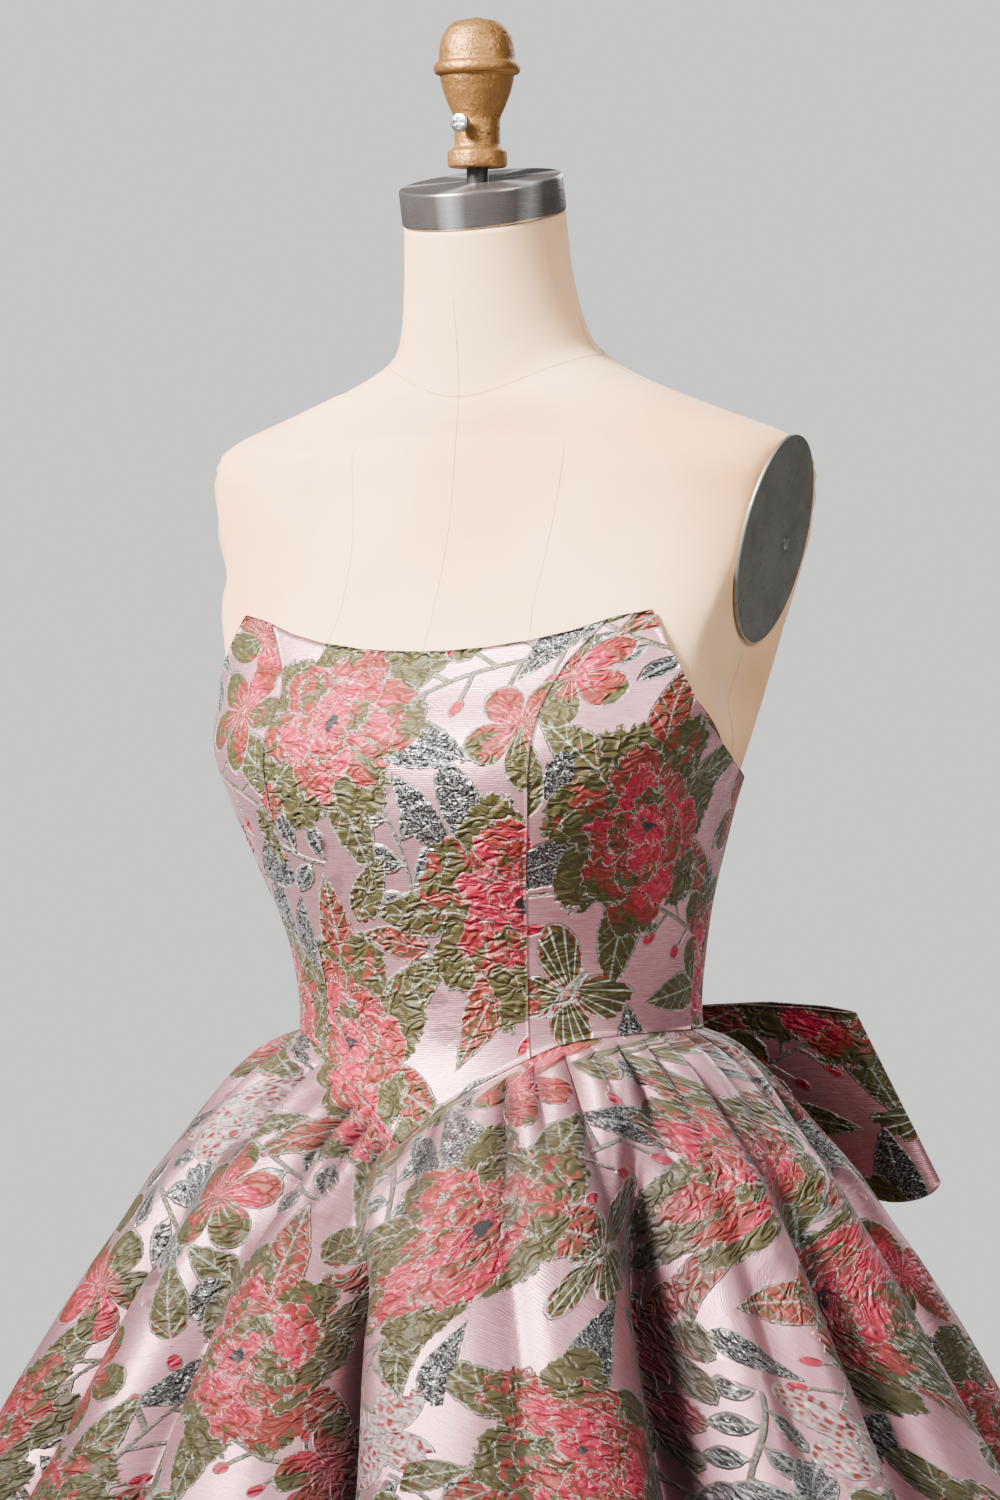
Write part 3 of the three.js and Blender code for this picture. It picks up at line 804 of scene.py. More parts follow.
        attribute.data.foreach_set("vector", facts.astype(np.float32).ravel())


class Drawing(NamedTuple):
    """What one motif puts on the ground."""

    mask: Val
    colour: object
    foil: Val


class Threads(NamedTuple):
    """The cloth and the unevenness that every motif's threads share."""

    cloth: bpy.types.NodeSocket
    jag: Val
    wave: Val
    speck: Val
    patch: Val
    gaps: Val


@dataclass(frozen=True)
class BrocadeFinish:
    """Pink satin ground with raised flowers in three threads and a pale outline thread, with
    painted shade in creases and sheltered folds.
    """

    ground: tuple = linear(230, 172, 179)
    ground_deep: tuple = linear(198, 130, 140)
    pink: tuple = linear(180, 16, 54)
    coral: tuple = linear(136, 38, 24)
    olive: tuple = linear(74, 66, 22)
    mint: tuple = linear(176, 184, 170)
    dark: tuple = linear(40, 36, 36)
    silver: tuple = linear(182, 180, 180)
    # colour of the painted shade in sheltered folds, tucks and bow loops
    depth: tuple = linear(36, 18, 21)
    # heights of the relief, in metres
    relief: float = 0.0010
    pucker: float = 0.0062
    rib: float = 0.00003
    # sizes of the unevenness on the cloth, in metres
    jag_size: float = 0.0045
    wave_size: float = 0.030
    patch_size: float = 0.016
    speck_size: float = 0.0014
    crease_size: float = 0.0098
    weft_size: float = 0.012
    rib_pitch: float = 0.0012
    # shares of the painted shade in the creases of the relief and in sheltered folds
    crease_painted_shade: float = 0.34
    shelter_painted_shade: float = 0.78

    def build(self) -> bpy.types.Material:
        """Make the material.

        Returns:
            The material, which reads the piece's UV maps and face facts.
        """
        art = Art("floral_brocade")
        cloth = art.flat("cloth")
        jag = art.noise(cloth, self.jag_size, 2.0)
        speck = art.noise(art.stretch(cloth, (1.0, 1.5, 1.0), 30), self.speck_size, 1.0, 0.6)
        threads = Threads(cloth, jag, wave=art.noise(cloth, self.wave_size, 1.0), speck=speck,
                          patch=art.noise(cloth, self.patch_size, 1.0, 0.5, 0.6),
                          gaps=speck.ramp(0.36, 0.5))
        puckered = art.stretch(cloth, (0.9, 1.5, 1.0), 20)
        crease = abs(art.noise(puckered, self.crease_size, 1.0, 0.4, 0.8) - 0.5)
        weft = art.noise(art.stretch(cloth, (1.0, 14.0, 1.0)), self.weft_size, 2.0, 0.6)
        colour = art.mix(self.ground, self.ground_deep, weft.ramp(0.3, 0.75))
        stems = self._stems(art, threads)
        colour = art.mix(colour, stems.colour, stems.mask)
        raised, foil = stems.mask, stems.foil
        for drawing in (self._foliage(art, threads), self._blooms(art, threads)):
            colour = art.mix(colour, drawing.colour, drawing.mask)
            raised = art.most(raised, drawing.mask)
            foil = art.blend(foil, drawing.foil, drawing.mask)
        # painted shade: the colour darkens towards the dark thread colour in the creases of the
        # puckered relief
        colour = art.mix(colour, self.dark,
                         crease.ramp(0.06, 0.0) * (raised * self.crease_painted_shade + 0.02))
        # painted shade: the colour darkens by the shade attribute in folds, tucks and near the
        # bow's knot
        shelter = art.node("ShaderNodeAttribute", {"attribute_name": "shade"}).outputs["Fac"]
        colour = art.mix(colour, self.depth, Val(art, shelter) * self.shelter_painted_shade)
        rib = art.parts(cloth)[1] * (2 * math.pi / self.rib_pitch) + jag * 3.0
        height = raised * self.relief + (raised * 0.93 + 0.07) * crease * self.pucker
        height = height + rib.of("SINE") * self.rib
        rough = art.blend(0.47, 0.56, raised) - foil * 0.18
        return art.finish(colour, rough, height, art.most(foil * 0.8, 0.82 - raised * 0.54), {
            "Sheen Weight": 0.18, "Sheen Roughness": 0.4, "Specular IOR Level": 0.55})

    def _facts(self, art: Art, layer: str) -> tuple[Val, Val, Val]:
        """Kind, tint and seed of the motif on a layer."""
        node = art.node("ShaderNodeAttribute", {"attribute_name": f"{layer}_facts"})
        return art.parts(node.outputs["Vector"])

    @staticmethod
    def _either(art: Art, first: Drawing, second: Drawing, kind: Val) -> Drawing:
        """The first drawing where the kind is nought, the second where it is one."""
        return Drawing(art.blend(first.mask, second.mask, kind),
                       art.mix(first.colour, second.colour, kind),
                       art.blend(first.foil, second.foil, kind))

    def _blooms(self, art: Art, threads: Threads) -> Drawing:
        """Roses and five-petal flowers.

        Args:
            art: The material.
            threads: Unevenness of the threads.

        Returns:
            The top layer.
        """
        x, y, _ = art.parts(art.flat("blooms"))
        kind, _, seed = self._facts(art, "blooms")
        far = art.math("SQRT", x * x + y * y)
        turn = art.math("ARCTAN2", y, x)
        uneven = (threads.wave - 0.5) * 0.34 + (threads.jag - 0.5) * 0.22
        rose = self._rose(art, threads, far + uneven, turn, seed)
        blossom = self._blossom(art, threads, far + uneven * 0.5, turn, seed)
        return self._either(art, rose, blossom, kind)

    def _petal_colour(self, art: Art, share: Val) -> bpy.types.NodeSocket:
        """Pink, coral or olive thread, by a share that breaks up unevenly."""
        ramp = art.node("ShaderNodeValToRGB", {"stops": [
            (0.0, self.pink), (0.44, self.pink), (0.47, self.coral), (0.66, self.coral),
            (0.69, self.olive), (1.0, self.olive)]}, {0: share})
        return ramp.outputs[0]

    def _rose(self, art: Art, threads: Threads, far: Val, turn: Val, seed: Val) -> Drawing:
        """Rings of ruffled petals round a dark heart.

        Args:
            art: The material.
            threads: Unevenness of the threads.
            far: Distance from the heart, one at the rose's edge.
            turn: Angle round the heart.
            seed: Number that tells one rose from the next.

        Returns:
            The rose.
        """
        jag, patch = threads.jag, threads.patch
        # edge, ruffle, petals, start, lean to olive
        rings = (
            (0.97, 0.24, 7, 0.3, 0.30), (0.76, 0.20, 6, 1.4, 0.06), (0.57, 0.16, 5, 2.2, -0.06),
            (0.39, 0.12, 4, 0.8, 0.04), (0.23, 0.08, 3, 1.9, -0.14),
        )
        mask = colour = thread = None
        streak = (turn * 19 + jag * 6.0).of("SINE")
        for edge, ruffle, petals, start, lean in rings:
            swing = turn * (petals / 2) + (seed * 0.39 + start) + (patch - 0.5) * 0.9
            lobe = abs(swing.of("SINE"))
            gap = lobe * ruffle + (edge - ruffle) - far
            inside = gap.ramp(-0.006, 0.010)
            own = art.chance((swing / math.pi).of("FLOOR") + (seed + edge * 10))
            share = own * 0.42 + (far / edge) * 0.42 + patch * 0.70 + jag * 0.26 + (
                streak * 0.06 + lean - 0.47)
            fill = self._petal_colour(art, share)
            line = art.most(gap.band(0.010, 0.012), lobe.ramp(0.05, 0.015))
            if colour is None:
                mask, colour, thread = inside, fill, line * inside
            else:
                colour = art.mix(colour, fill, inside)
                thread = art.blend(thread, line, inside)
        scribble = ((turn * 7 + far * 24 + jag * 8.0).of("SINE")).ramp(0.95, 0.995)
        thread = art.most(thread, scribble * far.ramp(0.62, 0.35) * 0.8) * threads.gaps
        colour = art.mix(colour, self.mint, thread * 0.9)
        colour = art.mix(colour, self.dark, far.ramp(0.085, 0.06))
        return Drawing(mask, colour, thread * 0.15)

    def _blossom(self, art: Art, threads: Threads, far: Val, turn: Val, seed: Val) -> Drawing:
        """Five rounded petals with fine lines from the middle.

        Args:
            art: The material.
            threads: Unevenness of the threads.
            far: Distance from the middle, one at the flower's edge.
            turn: Angle round the middle.
            seed: Number that tells one flower from the next.

        Returns:
            The flower.
        """
        jag, patch = threads.jag, threads.patch
        swing = turn * 2.5 + seed * 0.7
        lobe = abs(swing.of("SINE"))
        gap = lobe ** 0.55 * 0.62 + 0.36 - far
        mask = gap.ramp(-0.01, 0.02)
        own = art.chance((swing / math.pi).of("FLOOR") + seed)
        share = own * 0.45 + far * 0.42 + patch * 0.7 + jag * 0.25 - 0.36
        colour = self._petal_colour(art, share)
        rays = (turn * 19 + seed + jag * 3.0).of("SINE").ramp(0.84, 0.97) * far.ramp(0.55, 0.3)
        line = art.most(gap.band(0.02, 0.026), lobe.ramp(0.10, 0.03) * far.ramp(0.2, 0.3))
        thread = art.most(line, rays) * threads.gaps
        return Drawing(mask, art.mix(colour, self.mint, thread), thread * 0.15)

    def _foliage(self, art: Art, threads: Threads) -> Drawing:
        """Leaves and butterflies.

        Args:
            art: The material.
            threads: Unevenness of the threads.

        Returns:
            The middle layer.
        """
        x, y, _ = art.parts(art.flat("foliage"))
        kind, tint, _ = self._facts(art, "foliage")
        side = abs(x)
        return self._either(art, self._leaf(art, threads, side, y, tint),
                            self._butterfly(art, threads, side, y, tint), kind)

    def _foil_colour(self, art: Art, speck: Val) -> bpy.types.NodeSocket:
        """Black and silver threads that glitter in specks."""
        ramp = art.node("ShaderNodeValToRGB", {"stops": [
            (0.0, self.dark), (0.50, self.dark), (0.66, self.silver), (1.0, self.silver)]},
            {0: speck})
        return ramp.outputs[0]

    def _leaf(self, art: Art, threads: Threads, side: Val, y: Val, tint: Val) -> Drawing:
        """Pointed leaf with a pale outline and veins.

        Args:
            art: The material.
            threads: Unevenness of the threads.
            side: Distance from the midrib.
            y: Place along the midrib, from minus one to one.
            tint: Number of the colourway.

        Returns:
            The leaf.
        """
        jag = threads.jag
        width = (y + 1.0).of("SQRT") * (1.0 - y) * 0.78
        gap = width - side + (jag - 0.5) * 0.22
        mask = gap.ramp(0.0, 0.05)
        vein = (y - side * 0.7) * 2.6
        veins = (vein - vein.of("FLOOR")).band(0.5, 0.07) * 0.7
        thread = art.most(art.most(gap.band(0.06, 0.06), side.ramp(0.055, 0.02)), veins)
        plain = art.mix(self.olive, self.coral, (jag + tint * 0.22 + y * -0.1).ramp(0.64, 0.70))
        shine = tint > 1.5
        fill = art.mix(plain, self._foil_colour(art, threads.speck), shine)
        thread = thread * threads.gaps
        return Drawing(mask, art.mix(fill, self.mint, thread * 0.75), shine * 0.8)

    def _butterfly(self, art: Art, threads: Threads, side: Val, y: Val, tint: Val) -> Drawing:
        """Spread wings with a net of spots or fine veins.

        Args:
            art: The material.
            threads: Unevenness of the threads.
            side: Distance from the body.
            y: Place along the body, from minus one to one.
            tint: Number of the colourway.

        Returns:
            The butterfly.
        """
        jag, speck = threads.jag, threads.speck
        # middle from the body and along it, half width, half height, lean
        wings = ((0.50, 0.36, 0.56, 0.36, 32), (0.38, -0.40, 0.46, 0.34, -40))
        gap = None
        for cx, cy, wide, tall, lean in wings:
            c, s = math.cos(math.radians(lean)), math.sin(math.radians(lean))
            dx, dy = side - cx, y - cy
            a = (dx * c + dy * s) / wide
            b = (dy * c - dx * s) / tall
            wing = 1.0 - (a * a + b * b)
            gap = wing if gap is None else art.most(gap, wing)
        gap = gap + (jag - 0.5) * 0.3
        body = 1.0 - ((side / 0.09) ** 2.0 + ((y + 0.05) / 0.5) ** 2.0)
        mask = art.most(gap.ramp(0.0, 0.08), body.ramp(0.0, 0.1))
        net = art.cells(threads.cloth, 0.0052, "DISTANCE_TO_EDGE")
        fan = art.math("ARCTAN2", y, side + 0.1) * 5.0
        veins = (fan - fan.of("FLOOR")).band(0.5, 0.12)
        pale = art.mix(art.mix(self.ground_deep, self.coral,
                               net.ramp(0.16, 0.24) * gap.ramp(0.1, 0.2)),
                       self.mint, net.ramp(0.09, 0.05) * 0.9)
        plain = art.mix(self.olive, self.coral, gap.ramp(0.45, 0.25) * jag.ramp(0.42, 0.5))
        plain = art.mix(plain, self.mint, veins)
        grey = art.mix(self._foil_colour(art, speck), self.mint, veins * 0.8)
        fill = art.mix(plain, pale, tint.ramp(0.4, 0.6))
        fill = art.mix(fill, grey, tint > 1.5)
        edge = art.most(gap.band(0.1, 0.12), body.band(0.2, 0.3)) * speck.ramp(0.34, 0.48)
        return Drawing(mask, art.mix(fill, self.mint, edge), (tint > 1.5) * 0.4)

    def _stems(self, art: Art, threads: Threads) -> Drawing:
        """Sprays of narrow leaves and stems of small buds.

        Args:
            art: The material.
            threads: Unevenness of the threads.

        Returns:
            The lowest layer.
        """
        x, y, _ = art.parts(art.flat("stems"))
        kind, _, _ = self._facts(art, "stems")
        bent = x - (y * 2.2).of("SINE") * 0.16
        side = abs(bent)
        step = 0.52
        sign = bent.of("SIGN")
        place = (y + sign * (step / 4)) / step
        rise = (place - place.of("FLOOR") - 0.30) * step
        lean = math.radians(24)
        along = side * math.cos(lean) + rise * math.sin(lean)
        across = rise * math.cos(lean) - side * math.sin(lean)
        within = abs(y).ramp(0.98, 0.90)
        inner = (along - 0.42) / 0.38
        leaf_gap = (1.0 - inner * inner) * 0.17 - abs(across) + (threads.jag - 0.5) * 0.05
        leaf = leaf_gap.ramp(0.0, 0.03) * (abs(inner) * -1.0 + 1.0).ramp(0.0, 0.05)
        bud_far = ((along - 0.66) / 0.17) ** 2.0 + (across / 0.085) ** 2.0
        bud = (1.0 - bud_far).ramp(0.0, 0.25)
        twig = abs(across).ramp(0.035, 0.018) * along.ramp(0.62, 0.56)
        stalk = side.ramp(0.05, 0.025)
        line = art.most(stalk, twig)
        shape = art.blend(leaf, bud, kind)
        mask = art.most(shape, line * threads.speck.ramp(0.30, 0.42)) * within
        thread = art.most(leaf_gap.band(0.03, 0.03), abs(across).ramp(0.03, 0.012))
        foil = art.mix(self._foil_colour(art, threads.speck), self.mint, thread * 0.7)
        small = art.mix(self.pink, self.mint, (1.0 - bud_far).band(0.1, 0.3) * 0.7)
        fill = art.mix(foil, small, kind)
        green = art.mix(self.olive, self.mint, 0.35)
        colour = art.mix(green, fill, shape)
        return Drawing(mask, colour, (1.0 - kind) * shape * 0.8)


@dataclass(frozen=True)
class LinenFinish:
    """Cream linen in a fine herringbone weave, warmed by handling."""

    pale: tuple = linear(253, 207, 158)
    warm: tuple = linear(240, 172, 112)
    pitch: float = 0.0013
    stripe: float = 0.011

    def build(self) -> bpy.types.Material:
        """Make the material."""
        art = Art("form_linen")
        cloth = art.flat("cloth")
        x, y, _ = art.parts(cloth)
        stripe = x / self.stripe
        fold = abs(stripe - stripe.of("FLOOR") - 0.5) * self.stripe
        twill = ((y + fold * 2.0) * (2 * math.pi / self.pitch)).of("SINE")
        fleck = art.noise(art.stretch(cloth, (1.0, 4.0, 1.0)), 0.0025, 2.0)
        worn = art.noise(art.place(), 0.11, 2.0)
        colour = art.mix(self.pale, self.warm, worn.ramp(0.40, 0.66) * 0.8
                         + (fleck - 0.5) * 0.12 + twill * 0.012)
        return art.finish(colour, 0.82, twill * 0.000015 + fleck * 0.0001, 0.0,
                          {"Sheen Weight": 0.15, "Specular IOR Level": 0.25})


@dataclass(frozen=True)
class MetalFinish:
    """Metal with fine scratches or a rough casting skin, and painted highlights in upright bands
    where asked for.
    """

    name: str
    pale: tuple
    deep: tuple
    rough: float
    grain: tuple
    size: float
    relief: float
    metallic: float = 1.0
    pits: float = 0.0
    turn: tuple = (0.0, 0.0, 0.0)
    # angle round from the front and half width of each painted highlight band, in degrees
    painted_highlights: tuple = ()
    painted_highlight_colour: tuple = linear(250, 248, 246)
    # y of the axis that the painted highlight bands stand round, in metres
    axis_y: float = 0.008

    def build(self) -> bpy.types.Material:
        """Make the material."""
        art = Art(self.name)
        mapped = art.node("ShaderNodeMapping", None, {
            "Vector": art.place(), "Rotation": tuple(math.radians(a) for a in self.turn),
            "Scale": self.grain})
        grain = art.noise(mapped.outputs[0], self.size, 3.0, 0.6)
        cloud = art.noise(art.place(), 0.02, 2.0)
        pit = art.noise(art.place(), 0.004, 2.0, 0.7).ramp(0.62, 0.72) * self.pits
        colour = art.mix(self.pale, self.deep, (grain - 0.5) * 0.6 + cloud.ramp(0.3, 0.8) * 0.5)
        colour = art.mix(colour, self.deep, pit)
        rough = self.rough + (grain - 0.5) * 0.25 + pit * 0.3
        return art.finish(self._with_painted_highlights(art, colour), rough, grain * self.relief, self.metallic)

    def _with_painted_highlights(self, art: Art, colour: bpy.types.NodeSocket) -> bpy.types.NodeSocket:
        """Lay the painted highlight bands over a colour."""
        x, y, _ = art.parts(art.place())
        turn = art.math("ARCTAN2", x, y * -1.0 + self.axis_y)
        # painted highlight: paler colour in bands round the axis, standing in for reflected light
        for angle, half in self.painted_highlights:
            near = abs(turn - math.radians(angle)).ramp(math.radians(half), 0.0)
            colour = art.mix(colour, self.painted_highlight_colour, near * 0.8)
        return colour


@dataclass(frozen=True)
class PaintFinish:
    """Smooth paint with slight flow marks."""

    name: str
    pale: tuple
    deep: tuple
    rough: float

    def build(self) -> bpy.types.Material:
        """Make the material."""
        art = Art(self.name)
        flow = art.noise(art.place(), 0.006, 2.0)
        dust = art.noise(art.place(), 0.08, 2.0)
        colour = art.mix(self.pale, self.deep, dust.ramp(0.35, 0.75) * 0.6)
        return art.finish(colour, self.rough + (dust - 0.5) * 0.2, flow * 0.00005, 0.0)


# Stitches


class StitchTool:
    """Lays short stitches along a path with Geometry Nodes."""

    FACETS = 5
    SHORTEST = 0.8
    LONGEST = 1.1

    def __init__(self) -> None:
        """Build the node tree once."""
        self.tree = bpy.data.node_groups.new("stitches_along_a_path", "GeometryNodeTree")
        face = self.tree.interface
        face.new_socket("Path", in_out="INPUT", socket_type="NodeSocketGeometry")
        self.inputs = {}
        for name, kind in (("Pitch", "NodeSocketFloat"), ("Length", "NodeSocketFloat"),
                           ("Thread", "NodeSocketFloat"), ("Seed", "NodeSocketInt"),
                           ("Finish", "NodeSocketMaterial")):
            socket = face.new_socket(name, in_out="INPUT", socket_type=kind)
            self.inputs[name] = socket.identifier
        face.new_socket("Stitches", in_out="OUTPUT", socket_type="NodeSocketGeometry")
        self._wire()

    def _wire(self) -> None:
        """Connect the nodes of the tree."""
        add = self.tree.nodes.new
        group_in, group_out = add("NodeGroupInput"), add("NodeGroupOutput")
        to_curve = add("GeometryNodeMeshToCurve")
        points = add("GeometryNodeCurveToPoints")
        points.mode = "LENGTH"
        stitch = add("GeometryNodeMeshCylinder")
        stitch.inputs["Vertices"].default_value = self.FACETS
        place = add("GeometryNodeInstanceOnPoints")
        vary = add("FunctionNodeRandomValue")
        vary.data_type = "FLOAT"
        vary.inputs[2].default_value = self.SHORTEST
        vary.inputs[3].default_value = self.LONGEST
        real = add("GeometryNodeRealizeInstances")
        finish = add("GeometryNodeSetMaterial")
        links = (
            (group_in, "Path", to_curve, "Mesh"), (to_curve, "Curve", points, "Curve"),
            (group_in, "Pitch", points, "Length"), (group_in, "Thread", stitch, "Radius"),
            (group_in, "Length", stitch, "Depth"), (group_in, "Seed", vary, "Seed"),
            (points, "Points", place, "Points"), (stitch, "Mesh", place, "Instance"),
            (points, "Rotation", place, "Rotation"), (vary, 1, place, "Scale"),
            (place, "Instances", real, "Geometry"), (real, "Geometry", finish, "Geometry"),
            (group_in, "Finish", finish, "Material"), (finish, "Geometry", group_out, "Stitches"),
        )
        for source, output, target, entry in links:
            self.tree.links.new(source.outputs[output], target.inputs[entry])

    def sew(self, name: str, paths: Sequence[Array], pitch: float, length: float, thread: float,
            finish: bpy.types.Material) -> bpy.types.Object:
        """Sew along some paths.

        Args:
            name: The piece's name.
            paths: Points along each path, in millimetres.
            pitch: From one stitch to the next, in millimetres.
            length: Length of one stitch, in millimetres.
            thread: Radius of the thread, in millimetres.
            finish: The thread's material.

        Returns:
            The stitches as one plain mesh.
        """
        mesh = bpy.data.meshes.new(f"{name}_path")
        points = np.concatenate(paths) * MM
        edges, start = [], 0
        for path in paths:
            edges += [(k, k + 1) for k in range(start, start + len(path) - 1)]
            start += len(path)
        mesh.from_pydata(points.tolist(), edges, [])
        item = add_object(name, mesh)
        modifier = item.modifiers.new("stitches", "NODES")
        modifier.node_group = self.tree
        values = {"Pitch": pitch * MM, "Length": length * MM, "Thread": thread * MM, "Seed": 7,
                  "Finish": finish}
        for key, value in values.items():
            modifier[self.inputs[key]] = value
        graph = bpy.context.evaluated_depsgraph_get()
        plain = bpy.data.meshes.new_from_object(item.evaluated_get(graph))
        item.modifiers.remove(modifier)
        item.data = plain
        return item


# Figure of the form


class Figure:
    """Level sections of the figure from hip to neck, which cloth and form both follow."""

    # height at front, side and back, half width, front, back, centre, squareness
    ROWS = np.array([
        [780, 780, 780, 152, -98, 130, 18, 2.2, 2.2],
        [860, 860, 860, 163, -104, 142, 20, 2.2, 2.2],
        [920, 920, 920, 155, -101, 138, 22, 2.2, 2.15],
        [978, 978, 978, 133, -90, 128, 23, 2.15, 2.1],
        [1010, 1010, 1010, 118, -80, 120, 24, 2.1, 2.1],
        [1040, 1040, 1040, 108.5, -73, 115, 24, 2.1, 2.1],
        [1080, 1080, 1080, 111, -77, 113, 23, 2.15, 2.1],
        [1120, 1120, 1120, 120.5, -90, 114, 16, 2.3, 2.15],
        [1160, 1160, 1160, 132.5, -102, 118, 11, 2.6, 2.2],
        [1193, 1193, 1193, 144, -100, 121, 8, 2.7, 2.3],
        [1225, 1225, 1225, 151, -76, 124, 14, 2.6, 2.5],
        [1262, 1258, 1262, 158, -54, 127, 24, 2.8, 2.6],
        [1300, 1290, 1300, 168, -38, 127, 33, 2.6, 2.6],
        [1328, 1318, 1330, 177, -31, 122, 36, 2.5, 2.5],
        [1350, 1340, 1358, 180, -28, 110, 36, 2.5, 2.4],
        [1362, 1357, 1378, 166, -26, 98, 34, 2.4, 2.2],
        [1370, 1374, 1397, 122, -25, 84, 29, 2.3, 2.1],
        [1376, 1389, 1411, 84, -24, 72, 24, 2.2, 2.0],
        [1380, 1403, 1422, 61, -23.5, 64, 20, 2.0, 2.0],
        [1397, 1420, 1434, 53, -24, 57, 17, 2.0, 2.0],
        [1430, 1446, 1455, 48, -29, 53, 12, 2.0, 2.0],
    ])

    def __init__(self) -> None:
        """Tabulate the side height, for finding a row by it."""
        self.last = len(self.ROWS) - 1
        self.places = np.linspace(0, self.last, 4001)
        self.heights = self.row(self.places)[..., 1]

    def row(self, place: Array) -> Array:
        """Smooth reading of every column at fractional rows.

        Args:
            place: Fractional row numbers.

        Returns:
            Every column of the table there.
        """
        place = np.asarray(place, dtype=float)
        i = np.clip(np.floor(place).astype(int), 0, self.last - 1)
        f = (place - i)[..., None]
        a, b, c, d = (self.ROWS[np.clip(i + k, 0, self.last)] for k in (-1, 0, 1, 2))
        return 0.5 * (2 * b + (c - a) * f + (2 * a - 5 * b + 4 * c - d) * f ** 2
                      + (3 * b - a - 3 * c + d) * f ** 3)

    def row_at(self, z: Array) -> Array:
        """The row whose side height is z."""
        return self.row(np.interp(z, self.heights, self.places))

    @staticmethod
    def radius(row: Array, angle: Array, out: Array) -> Array:
        """Distance from the figure's own axis at an angle, out by some cloth.

        Args:
            row: Columns of the table.
            angle: Degrees round from the centre front.
            out: Millimetres out from the figure.

        Returns:
            The distance in millimetres.
        """
        s = np.abs(np.sin(np.radians(angle)))
        c = np.cos(np.radians(angle))
        square = np.where(c >= 0, row[..., 7], row[..., 8])
        deep = np.where(c >= 0, row[..., 6] - row[..., 4], row[..., 5] - row[..., 6])
        return ((s / (row[..., 3] + out)) ** square
                + (np.abs(c) / (deep + out)) ** square) ** (-1 / square)

    def point(self, row: Array, angle: Array, out: Array = 0.0) -> Array:
        """Point of the figure at a row and an angle round from the centre front.

        Args:
            row: Columns of the table.
            angle: Degrees round from the centre front.
            out: Millimetres out from the figure.

        Returns:
            The point in millimetres.
        """
        radius = self.radius(row, angle, out)
        c = np.cos(np.radians(angle))
        end = np.where(c >= 0, row[..., 0], row[..., 2])
        return np.stack([radius * np.sin(np.radians(angle)), row[..., 6] - radius * c,
                         row[..., 1] + (end - row[..., 1]) * np.abs(c) ** 1.6], axis=-1)


@dataclass
class Finishes:
    """Every material of the object."""

    brocade: bpy.types.Material
    linen: bpy.types.Material
    steel: bpy.types.Material
    aged: bpy.types.Material
    brass: bpy.types.Material
    zinc: bpy.types.Material
    black: bpy.types.Material
    white: bpy.types.Material

    @classmethod
    def make(cls) -> "Finishes":
        """Build them all."""
        return cls(
            brocade=BrocadeFinish().build(),
            linen=LinenFinish().build(),
            steel=MetalFinish("neck_plate_steel", linear(140, 132, 129), linear(84, 77, 74),
                              0.26, (1.0, 1.0, 30.0), 0.03, 0.00002, 0.8, turn=(13.0, 0, 0),
                              # painted highlights: paler upright bands on the drum that stand in
                              # for reflections of the lights
                              painted_highlights=((4, 11), (61, 11), (-70, 10), (118, 11), (-125, 13),
                                       (172, 9))).build(),
            aged=MetalFinish("arm_plate_steel", linear(150, 147, 140), linear(96, 93, 88), 0.40,
                             (1.0, 1.0, 1.0), 0.01, 0.00003, 0.8, pits=0.7).build(),
            brass=MetalFinish("cast_knob_brass", linear(176, 126, 70), linear(84, 52, 24), 0.46,
                              (1.0, 1.0, 1.0), 0.0026, 0.0007, 0.75, pits=0.9).build(),
            zinc=MetalFinish("screw_zinc", linear(190, 188, 182), linear(130, 128, 122), 0.36,
                             (1.0, 1.0, 1.0), 0.003, 0.00003).build(),
            black=PaintFinish("rod_black_paint", linear(34, 32, 31), linear(20, 19, 18),
                              0.45).build(),
            white=PaintFinish("stand_white_paint", linear(222, 219, 213), linear(206, 202, 195),
                              0.38).build(),
        )


def place_piece(piece: bpy.types.Object, node: str,
                finish: bpy.types.Material) -> None:
    """Dress a piece and let it stand for a solid of the frame.

    Args:
        piece: The piece.
        node: The solid that it replaces.
        finish: Its material.
    """
    piece.data.materials.append(finish)
    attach(piece, "root")
    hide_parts(node)
    LOG.info("%s: %d faces", piece.name, len(piece.data.polygons))


